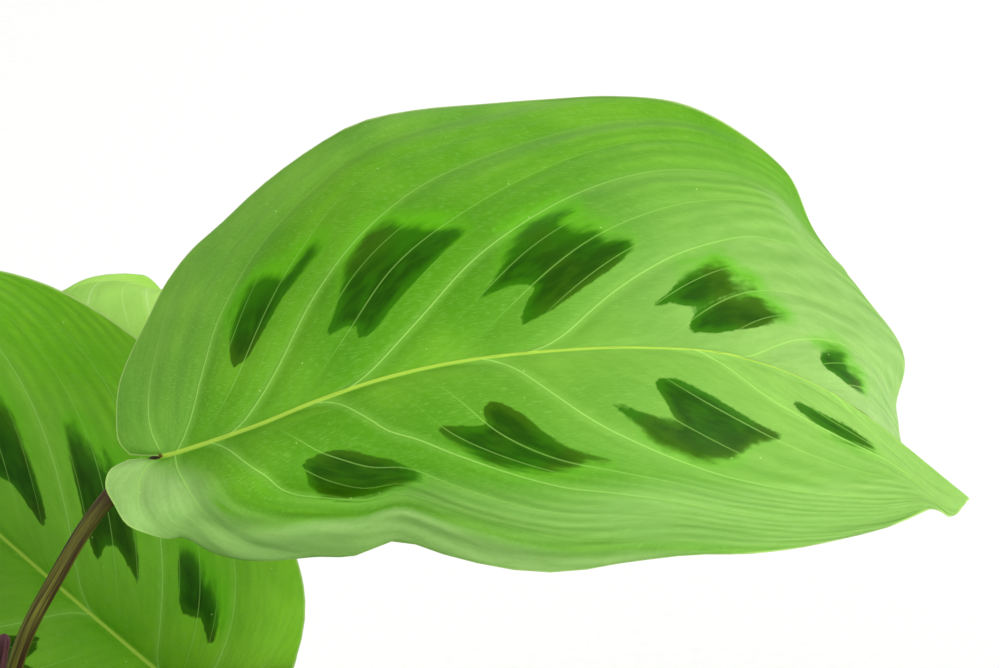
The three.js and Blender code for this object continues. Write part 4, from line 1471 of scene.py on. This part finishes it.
@dataclass
class Rod:
    """A closed round rod along a path, with rounded ends."""

    path: np.ndarray
    radii: np.ndarray
    marks: Fields
    sides: int = 20
    roll: float = 0.0  # step in the radius where a rolled leaf's own edge lies on it
    twist: float = 0.8  # turns that this edge makes on its way up

    def part(self) -> Part:
        """Builds the rod.

        Returns:
            its points, faces and fields
        """
        tangents = np.gradient(self.path, axis=0)
        tangents /= np.linalg.norm(tangents, axis=1, keepdims=True)
        helper = (0.0, 1.0, 0.0) if abs(tangents[0, 1]) < 0.9 else (1.0, 0.0, 0.0)
        side = np.cross(tangents[0], helper)
        count = len(self.path)
        angles = round_angles(self.sides)
        turns = angles / (2 * math.pi) + self.twist * np.linspace(0, 1, count)[:, None]
        layers = 1 - self.roll * (turns % 1)
        rings = []
        for centre, tangent, radius, layer in zip(self.path, tangents, self.radii, layers):
            side = side - tangent * (side @ tangent)
            side /= np.linalg.norm(side)
            other = np.cross(tangent, side)
            spokes = np.cos(angles)[:, None] * side + np.sin(angles)[:, None] * other
            rings.append(centre + radius * layer[:, None] * spokes)
        steps = np.linalg.norm(np.diff(self.path, axis=0), axis=1)
        marks = {**self.marks, "along_mm": np.concatenate([[0.0], np.cumsum(steps)])}
        fields = {
            field: np.concatenate([np.repeat(values, self.sides), values[:1], values[-1:]])
            for field, values in marks.items()
        }
        for field, values in (("round_x", np.cos(angles)), ("round_y", np.sin(angles))):
            fields[field] = np.concatenate([np.tile(values, count), [0.0, 0.0]])
        points = np.concatenate([*rings, self.path[:1], self.path[-1:]])
        return points, stitch(count, self.sides), fields


def even_path(points: np.ndarray, count: int) -> np.ndarray:
    """Spreads points evenly along a finely drawn path.

    Args:
        points: the path
        count: how many points to give

    Returns:
        the evenly spread points
    """
    steps = np.linalg.norm(np.diff(points, axis=0), axis=1)
    reached = np.concatenate([[0.0], np.cumsum(steps)])
    wanted = np.linspace(0, reached[-1], count)
    return np.stack([np.interp(wanted, reached, points[:, axis]) for axis in range(3)], -1)


@dataclass
class Shoot:
    """A shoot: its short stem, the stalks of its leaves, and any leaf still rolled up."""

    number: int
    azimuth: float
    radius: float
    material: bpy.types.Material
    foot_radius: float = 4.6
    top_radius: float = 3.4
    sunk: float = 11.7
    rise: float = 14.0
    sheath_radius: float = 2.3
    stalk_radius: float = 1.3
    joint_radius: float = 1.5
    sheath_share: float = 0.45  # of the stalk, which the sheath covers
    sheath_lip: float = 0.12  # how far the sheath's end stands out
    joint_share: float = 0.9  # of the stalk, where the joint starts
    scar_rings: float = 5.5
    scar_depth: float = 0.25
    stem_steps: int = 30
    stem_sides: int = 28
    stalk_steps: int = 90
    joint_steps: int = 6  # from the end of the solid stalk to the blade
    hairs: int = 110  # on each joint
    hair_radius: float = 0.035
    hair_length: tuple[float, float] = (0.5, 1.3)
    climb: float = 0.42  # how steeply a stalk leaves its shoot, against its span
    outset: float = 0.12  # how far it leans out at both ends, against its span
    bud_steps: int = 200
    bud_tip_radius: float = 1.1
    bud_swell: float = 2.0
    bud_nose: float = 0.018  # share of the bud that its rounded tip takes up

    def __post_init__(self) -> None:
        """Finds the foot of the shoot, and starts its list of rods with the stem."""
        angle = math.radians(self.azimuth)
        across, away = self.radius * math.cos(angle), self.radius * math.sin(angle)
        self.foot = np.array([across, away, soil_level(self.radius)])
        self.stalks = 0
        share = np.linspace(0, 1, self.stem_steps)
        path = self.foot + np.outer(share * (self.sunk + self.rise) - self.sunk, (0, 0, 1))
        radii = self.foot_radius + (self.top_radius - self.foot_radius) * share
        # Old sheaths leave a ring where each of them was.
        scars = np.abs(np.sin(self.scar_rings * math.pi * share))
        radii = radii - self.scar_depth + self.scar_depth * scars
        radii = radii * (1 - 0.55 * ease(share, 0.9, 1.0))
        self.rods = [Rod(path, radii, self.marks(share, sheath=0.7), sides=self.stem_sides)]

    @staticmethod
    def marks(share: np.ndarray, **values: float) -> Fields:
        """Even values of the fields that tell a rod's skin, which are 0 where not given."""
        fields = ("joint", "sheath", "bud", "hair")
        return {field: np.full(len(share), values.get(field, 0.0)) for field in fields}

    def add_stalk(self, fine_path: np.ndarray, blade: Matrix) -> None:
        """Adds a stalk, which ends in a swollen joint against its blade.

        Args:
            fine_path: its finely drawn path, up to the end of the solid one
            blade: the blade's place
        """
        path = even_path(fine_path, self.stalk_steps)
        share = np.linspace(0, 1, self.stalk_steps)
        sheathed = np.clip(1 - share / self.sheath_share, 0, 1) ** 1.5
        radii = self.stalk_radius + (self.sheath_radius - self.stalk_radius) * sheathed
        swell = ease(share, self.joint_share - 0.02, self.joint_share + 0.02)
        radii = radii + (self.joint_radius - self.stalk_radius) * swell
        lip = np.exp(-(((share - self.sheath_share) / 0.008) ** 2))
        radii = radii + self.sheath_lip * lip
        end = np.array(blade @ Vector(JOINT_END))
        extra = np.linspace(0, 1, self.joint_steps + 1)[1:, None]
        path = np.concatenate([path, path[-1] + (end - path[-1]) * extra])
        radii = np.concatenate([radii, self.joint_radius * (1 - 0.5 * extra[:, 0] ** 2)])
        marks = self.marks(radii)
        marks["joint"] = np.concatenate([swell, np.ones(self.joint_steps)])
        marks["sheath"] = np.concatenate([sheathed**0.5, np.zeros(self.joint_steps)])
        self.rods.append(Rod(path, radii, marks))
        self.add_hairs(path, radii, marks["joint"])

    def add_hairs(self, path: np.ndarray, radii: np.ndarray, joint: np.ndarray) -> None:
        """Adds the fine hairs that stand out from a joint.

        Args:
            path: the stalk's path
            radii: its radius at each point of the path
            joint: 1 at the points that lie in the joint
        """
        dice = np.random.default_rng(100 * self.number + len(self.rods))
        for place in dice.choice(np.flatnonzero(joint > 0.5)[:-3], self.hairs):
            tangent = path[place + 1] - path[place]
            tangent /= np.linalg.norm(tangent)
            away = np.cross(tangent, dice.normal(size=3))
            away /= np.linalg.norm(away)
            root = path[place] + dice.random() * (path[place + 1] - path[place])
            length = dice.uniform(*self.hair_length)
            reach = np.linspace(0, 1, 4)
            line = root + np.outer(radii[place] - 0.05 + reach * length, away)
            line += np.outer(reach**2 * length * 0.5, tangent)
            radii_along = self.hair_radius * (1.1 - reach)
            self.rods.append(Rod(line, radii_along, self.marks(reach, hair=1.0), sides=3))

    def grow_stalk(self, blade: Matrix) -> None:
        """Grows a stalk that climbs, arches out and comes in under its blade.

        Args:
            blade: the blade's place
        """
        end = np.array(blade @ Vector(STALK_INSET))
        along = np.array(blade.to_3x3() @ Vector((1, 0, 0)))
        under = np.array(blade.to_3x3() @ Vector((0, 0, -1)))
        start = self.foot + (0, 0, 2 + 2.5 * self.stalks)
        self.stalks += 1
        reach = np.linalg.norm(end - start)
        out = (end - start) * (1, 1, 0)
        leave = start + self.outset * out + (0, 0, self.climb * reach)
        arrive = end - self.outset * reach * along + (5 + 0.2 * reach) * under
        t = np.linspace(0, 1, 300)[:, None]
        path = start * (1 - t) ** 3 + 3 * leave * t * (1 - t) ** 2
        path = path + 3 * arrive * t**2 * (1 - t) + end * t**3
        self.add_stalk(path, blade)

    def add_bud(self, path: Sequence[tuple[float, float, float]]) -> None:
        """Adds a leaf still rolled up in its sheath.

        Args:
            path: points that it passes
        """
        share = np.linspace(0, 1, self.bud_steps)
        points = even_path(smooth_row(path, np.linspace(0, 1, 3 * self.bud_steps)), self.bud_steps)
        radii = self.bud_tip_radius + self.bud_swell * (1 - share**3)
        nose = np.clip((share - (1 - self.bud_nose)) / self.bud_nose, 0, 0.98)
        radii = radii * np.sqrt(1 - nose**2)
        self.rods.append(Rod(points, radii, self.marks(share, bud=1.0), sides=36, roll=0.12))

    def dress(self) -> None:
        """Joins the rods into one piece and lets it stand for the shoot's node."""
        name = f"shoot_{self.number}"
        piece = make_piece(name, *joined(rod.part() for rod in self.rods), self.material)
        settle(piece, f"{name}_stalks")


STALK_INSET = (1.2, 0, -2.2)  # where a solid stalk ends under its blade
JOINT_END = (0.6, 0, -0.35)  # where the swollen joint reaches the blade
# Azimuth of each shoot, and its distance from the pot's axis.
SHOOT_PLACES = ((250, 9), (30, 27), (95, 30), (165, 27), (225, 29), (318, 22))
FRONT_STALK = (
    (-3.2, -8.5, 108), (-2, -9, 135), (1.5, -8.5, 165), (6, -6.1, 190.7), (13.6, -2.2, 206),
    (21.7, 0.9, 217.5),
)  # fmt: skip
BUD_PATH = ((-3.4, -8, 120), (-3.5, -5, 150), (-1, -2.5, 175), (3.9, -1, 193.8))


# ---- pot and soil -------------------------------------------------------------------


@dataclass
class Pot:
    """A round tapered clay pot with a thick plain rim and four drain holes."""

    material: bpy.types.Material
    top_radius: float = 65.0
    base_radius: float = 47.0
    height: float = 108.0
    wall: float = 4.5
    floor: float = 6.0
    rim_height: float = 20.0
    overhang: float = 3.5
    rounding: float = 1.5
    rim_rounding: float = 0.8  # where the wall meets the rim from below
    floor_rounding: float = 3.0
    segments: int = 176
    profile_step: float = 2.5  # longest step up the walls
    corner_steps: int = 5
    floor_steps: int = 17
    holes: int = 4
    hole_radius: float = 4.0
    hole_circle: float = 24.0
    hole_sides: int = 32
    drill_past: float = 3.0  # how far the drill reaches past both faces of the floor

    def inner_radius(self, height: float) -> float:
        """Inside radius of the wall at a height."""
        taper = (self.top_radius - self.base_radius) * height / self.height
        return self.base_radius + taper - self.wall

    def profile(self) -> np.ndarray:
        """The pot's outline from the middle of its underside to that of its floor.

        Returns:
            radius and height of each point
        """
        rim_foot = self.height - self.rim_height
        body_top = self.inner_radius(rim_foot) + self.wall
        low, top, soft = body_top + self.overhang, self.top_radius + self.overhang, self.rounding
        mouth = self.inner_radius(self.height)
        corners = (
            (0, 0, 0), (self.base_radius, 0, soft), (body_top, rim_foot, self.rim_rounding),
            (low, rim_foot, soft), (top, self.height, soft), (mouth, self.height, soft),
            (self.inner_radius(self.floor), self.floor, self.floor_rounding), (0, self.floor, 0),
        )  # fmt: skip
        rows = [np.array(corners[0][:2], float)]
        for before, (x, y, radius), after in zip(corners, corners[1:], corners[2:]):
            corner = np.array([x, y], float)
            back, ahead = np.array(before[:2]) - corner, np.array(after[:2]) - corner
            back, ahead = back / np.linalg.norm(back), ahead / np.linalg.norm(ahead)
            enter, leave = corner + back * radius, corner + ahead * radius
            far = np.linalg.norm(enter - rows[-1])
            fill = np.linspace(0, 1, max(2, int(far / self.profile_step) + 1))[1:, None]
            rows += list(rows[-1] + (enter - rows[-1]) * fill)
            t = np.linspace(0, 1, self.corner_steps + 1)[1:, None]
            rows += list(enter * (1 - t) ** 2 + 2 * corner * t * (1 - t) + leave * t**2)
        last = np.array(corners[-1][:2], float)
        fill = np.linspace(0, 1, self.floor_steps + 1)[1:, None]
        rows += list(rows[-1] + (last - rows[-1]) * fill)
        return np.array(rows)

    def dress(self) -> None:
        """Turns the pot, drills it, and lets it stand for its node."""
        profile = self.profile()[1:-1]
        angles = round_angles(self.segments)
        radius, height = profile[:, :1], profile[:, 1:]
        # The wall is never quite true: it waves by a tenth of a millimetre as it turns. Its
        # foot, which it stands on, stays flat, and so does the floor.
        marks = 0.05 * np.sin(2.1 * height) + 0.04 * np.sin(5.3 * height + 2 * np.sin(3 * angles))
        oval = 0.08 * np.sin(2 * angles + 0.7) * ease(height, 5, 60)
        outer = radius > 40
        wavy = radius + (marks * ease(height, 2, 6) + oval) * outer
        rings = np.stack(
            [wavy * np.cos(angles), wavy * np.sin(angles), np.broadcast_to(height, wavy.shape)], -1
        )
        points = np.concatenate([rings.reshape(-1, 3), [[0, 0, 0], [0, 0, self.floor]]])
        faces = stitch(len(profile), self.segments)
        piece = make_piece("clay_pot", points, faces, {}, self.material)
        self.drill(piece)
        mesh = piece.data
        heights = np.zeros(3 * len(mesh.vertices), np.float32)
        mesh.vertices.foreach_get("co", heights)
        field = mesh.attributes.new("height_mm", "FLOAT", "POINT")
        field.data.foreach_set("value", heights[2::3] / MM)
        settle(piece, "pot")

    def drill(self, piece: bpy.types.Object) -> None:
        """Cuts the four drain holes.

        Args:
            piece: the pot, whose mesh is replaced by the drilled one
        """
        angles = round_angles(self.hole_sides)
        disc = self.hole_radius * np.column_stack([np.cos(angles), np.sin(angles)])
        drills = []
        for hole in range(self.holes):
            turn = 2 * math.pi * (hole + 0.5) / self.holes
            centre = self.hole_circle * np.array([math.cos(turn), math.sin(turn)])
            rings = [
                np.column_stack([ring, np.full(len(ring), level)])
                for ring in (disc + centre, centre[None])
                for level in (-self.drill_past, self.floor + self.drill_past)
            ]
            drills.append((np.concatenate(rings), stitch(2, self.hole_sides), {}))
        cutter = make_piece("drill", *joined(drills), self.material)
        cut = piece.modifiers.new("drain", "BOOLEAN")
        cut.operation, cut.solver, cut.object = "DIFFERENCE", "EXACT", cutter
        seen = piece.evaluated_get(bpy.context.evaluated_depsgraph_get())
        mesh = bpy.data.meshes.new_from_object(seen)
        piece.modifiers.clear()
        piece.data = mesh
        bpy.data.objects.remove(cutter)


@dataclass
class Soil:
    """The soil that fills the pot, lumpy on top and strewn with crumbs."""

    material: bpy.types.Material
    lump: float = 0.8
    bottom: float = 6.3
    edge_radius: float = 58.2
    base_radius: float = 43.25
    segments: int = 200
    rings: int = 74
    wall_rings: int = 13
    flat_edge: float = 3.0  # breadth of the strip by the pot where the lumps fade
    crumbs: int = 900
    strewn_radius: float = 57.0
    crumb_radius: tuple[float, float] = (0.5, 1.5)
    bark_share: float = 0.2
    white_share: float = 0.06
    knobs: float = 0.22  # how knobbly a crumb is, against its radius

    def height(self, x: np.ndarray, y: np.ndarray) -> np.ndarray:
        """Height of the surface.

        Args:
            x: places across
            y: places away from the viewer

        Returns:
            heights at those places
        """
        radius = np.hypot(x, y)
        lumps = np.sin(0.31 * x + 1) * np.cos(0.27 * y) + 0.6 * np.sin(0.62 * y + 0.5 * x)
        fine = 0.35 * np.sin(1.7 * x + np.sin(0.9 * y)) * np.sin(1.5 * y + np.sin(1.1 * x))
        fine = fine + 0.2 * np.sin(3.9 * x - 1.3 * y) * np.cos(3.5 * y + 0.8 * x)
        inside = ease(MOUTH_RADIUS - self.flat_edge - radius, 0, self.flat_edge)
        return soil_level(radius) + self.lump * (lumps + fine) * inside

    def dress(self) -> None:
        """Builds the soil and lets it stand for its node."""
        angles = round_angles(self.segments)
        across, away = np.cos(angles), np.sin(angles)
        radii = self.edge_radius * np.linspace(1, 0, self.rings + 1)[:-1]
        x, y = np.outer(radii, across), np.outer(radii, away)
        top = np.stack([x, y, self.height(x, y)], -1)
        rise = top[0, :, 2].mean() - self.bottom
        walls = []
        for share in np.linspace(0, 1, self.wall_rings + 1)[:-1]:
            radius = self.base_radius + (self.edge_radius - self.base_radius) * share
            level = np.full(self.segments, self.bottom + rise * share)
            walls.append(np.column_stack([radius * across, radius * away, level]))
        stack = np.concatenate([np.array(walls), top])
        middle = float(self.height(np.zeros(1), np.zeros(1))[0])
        points = np.concatenate([stack.reshape(-1, 3), [[0, 0, self.bottom], [0, 0, middle]]])
        plain = {kind: np.zeros(len(points)) for kind in ("bark", "white")}
        body = (points, stitch(len(stack), self.segments), plain)
        piece = make_piece("potting_soil", *joined([body, *self.strewn()]), self.material)
        settle(piece, "soil")

    def strewn(self) -> list[Part]:
        """Strews crumbs of peat and bark and grains of perlite, half sunk in the surface.

        Returns:
            one part for each
        """
        ball = bmesh.new()
        bmesh.ops.create_icosphere(ball, subdivisions=2, radius=1.0)
        shape = np.array([vertex.co for vertex in ball.verts])
        faces = [[vertex.index for vertex in face.verts] for face in ball.faces]
        ball.free()
        dice = np.random.default_rng(7)
        crumbs = []
        for _ in range(self.crumbs):
            radius = self.strewn_radius * math.sqrt(dice.random())
            angle = 2 * math.pi * dice.random()
            size = dice.uniform(*self.crumb_radius)
            is_bark = float(dice.random() < self.bark_share)
            is_white = float(dice.random() < self.white_share)
            stretch = np.array([1.0, dice.uniform(0.6, 1.0), dice.uniform(0.4, 0.8)])
            if is_bark:
                stretch, size = stretch * (2.2, 1.0, 0.6), size * 1.1
            waves = dice.uniform(-2.5, 2.5, (3, 3))
            knobbly = shape * (1 + self.knobs * np.sin(shape @ waves).sum(1, keepdims=True))
            turned = Euler(tuple(dice.uniform(-0.5, 0.5, 2)) + (dice.uniform(0, 6.28),)).to_matrix()
            x, y = radius * math.cos(angle), radius * math.sin(angle)
            level = float(self.height(np.array([x]), np.array([y]))[0])
            own = (knobbly * stretch * size) @ np.array(turned).T + (x, y, level + 0.2 * size)
            kinds = {"bark": np.full(len(own), is_bark), "white": np.full(len(own), is_white)}
            crumbs.append((own, faces, kinds))
        return crumbs


# ---- the plant and its studio ---------------------------------------------------------


@dataclass
class Plant:
    """The whole plant: its pot, its soil, its shoots and its leaves."""

    def build(self) -> None:
        """Builds every piece in order."""
        Pot(PressedTerracotta().material()).dress()
        Soil(PeatAndBark().material()).dress()
        finishes = {Age.YOUNG: YOUNG_LEAF, Age.GROWN: LivingLeaf(), Age.OLD: BACKLIT_LEAF}
        skins = {age: finish.material() for age, finish in finishes.items()}
        stalk = FibrousStalk().material()
        shoots = [
            Shoot(number + 1, azimuth, radius, stalk)
            for number, (azimuth, radius) in enumerate(SHOOT_PLACES)
        ]
        front = Leaf(
            name="front_leaf",
            form=front_form(),
            placing=FRONT_PLACE,
            blotches={Half.LEFT: FRONT_UPPER_BLOTCHES, Half.RIGHT: FRONT_LOWER_BLOTCHES},
            material=skins[Age.GROWN],
            steps_per_vein=24,
            out_steps=90,
            valley=0.6,
            is_front=True,
        )
        front.dress()
        end = FRONT_PLACE @ Vector(STALK_INSET)
        path = smooth_row([*FRONT_STALK, tuple(end)], np.linspace(0, 1, 400))
        shoots[0].add_stalk(path, FRONT_PLACE)
        shoots[0].add_bud(BUD_PATH)
        for index, place in enumerate([*PLACED_LEAVES, *ring_leaves()]):
            seed = index + 1
            blade = Leaf(
                name=place.name,
                form=common_form(place.length, place.droop, seed, place.breadth),
                placing=place.matrix(),
                blotches={half: common_blotches(seed, half) for half in Half},
                material=skins[place.age],
                slot=Slot.YOUNG_LEAF if place.age is Age.YOUNG else Slot.LEAF,
                # The backlit leaf gets a stronger painted highlight in its lobes.
                lobe_painted_highlight=0.6 if place.age is Age.OLD else 0.2,
            )
            blade.dress()
            self.shoot_of(place, shoots).grow_stalk(blade.placing)
        for shoot in shoots:
            shoot.dress()

    @staticmethod
    def shoot_of(place: LeafPlace, shoots: Sequence[Shoot]) -> Shoot:
        """Finds the shoot that a leaf grows from: its own, or the nearest outer one.

        Args:
            place: the leaf's place
            shoots: all shoots

        Returns:
            its shoot
        """
        if place.shoot is not None:
            return shoots[place.shoot]
        return min(shoots[1:], key=lambda shoot: math.dist(place.at[:2], shoot.foot[:2]))


@dataclass
class Studio:
    """A white paper floor, soft lamps and the camera."""

    aim: tuple[float, float, float] = (0.03, 0.0, 0.2)
    camera_at: tuple[float, float, float] = (0.0827, -0.4016, 0.4333)
    camera_tilt: float = 65.0
    lens: float = 105.0
    sensor: float = 36.0
    sky_light: float = 0.44  # strength with which it lights the plant
    sky_seen: float = 0.92  # and with which the camera sees it, close to the floor's own white
    floor_radius: float = 4000.0
    floor_rings: int = 20
    floor_sides: int = 128

    def build(self) -> None:
        """Sets up the floor, the lights, the world and the camera."""
        self.add_floor()
        self.add_lamp("key", (2.1, -1.25, 1.2), 68.0, 2.2)
        self.add_lamp("fill", (-1.7, -1.9, 1.3), 34.0, 2.4)
        self.add_lamp("back", (0.5, 2.1, 2.2), 36.0, 2.4)
        self.add_sky()
        self.add_camera()
        log.info("studio: floor, lamps, sky and camera")

    def add_sky(self) -> None:
        """Surrounds the plant with an even white, which lights it less than it shows itself."""
        world = bpy.data.worlds.new("studio")
        world.use_nodes = True
        tree = world.node_tree
        tree.nodes.clear()
        seen = add_node(tree, "LightPath", {}, "Is Camera Ray")
        strength = add_node(tree, "MapRange", {0: seen, 3: self.sky_light, 4: self.sky_seen})
        light = add_node(tree, "Background", {"Color": linear("ffffff"), "Strength": strength})
        add_node(tree, "OutputWorld", {"Surface": light})
        bpy.context.scene.world = world

    def add_camera(self) -> None:
        """Places the camera where the photograph was taken from."""
        scene = bpy.context.scene
        scene.view_settings.view_transform = "Standard"
        camera = bpy.data.objects.new("camera", bpy.data.cameras.new("camera"))
        camera.data.lens, camera.data.sensor_width = self.lens, self.sensor
        camera.location = self.camera_at
        camera.rotation_euler = (math.radians(self.camera_tilt), 0, 0)
        scene.collection.objects.link(camera)
        scene.camera = camera

    def add_floor(self) -> None:
        """Lays the paper floor as a fine sheet under the pot."""
        angles = round_angles(self.floor_sides)
        radii = self.floor_radius * np.linspace(1, 0, self.floor_rings + 1)[:-1]
        x, y = np.outer(radii, np.cos(angles)).ravel(), np.outer(radii, np.sin(angles)).ravel()
        points = np.append(np.column_stack([x, y, np.zeros_like(x)]), np.zeros((1, 3)), axis=0)
        faces = stitch(self.floor_rings, self.floor_sides, closed_below=False)
        make_piece("paper_floor", points, faces, {}, SeamlessPaper().material())

    def add_lamp(self, name: str, place: tuple[float, float, float], power: float, size: float) -> None:
        """Adds a square soft lamp.

        Args:
            name: its name
            place: where it stands, in metres
            power: in watts
            size: length of its side, in metres
        """
        lamp = bpy.data.objects.new(name, bpy.data.lights.new(name, "AREA"))
        lamp.data.energy, lamp.data.size = power, size
        lamp.location = place
        lamp.rotation_euler = (Vector(place) - Vector(self.aim)).to_track_quat("Z", "Y").to_euler()
        bpy.context.scene.collection.objects.link(lamp)


def main() -> None:
    """Builds the plant and its studio."""
    logging.basicConfig(level=logging.INFO, format="%(name)s: %(message)s")
    Plant().build()
    Studio().build()
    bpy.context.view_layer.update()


if __name__ == "__main__":
    main()
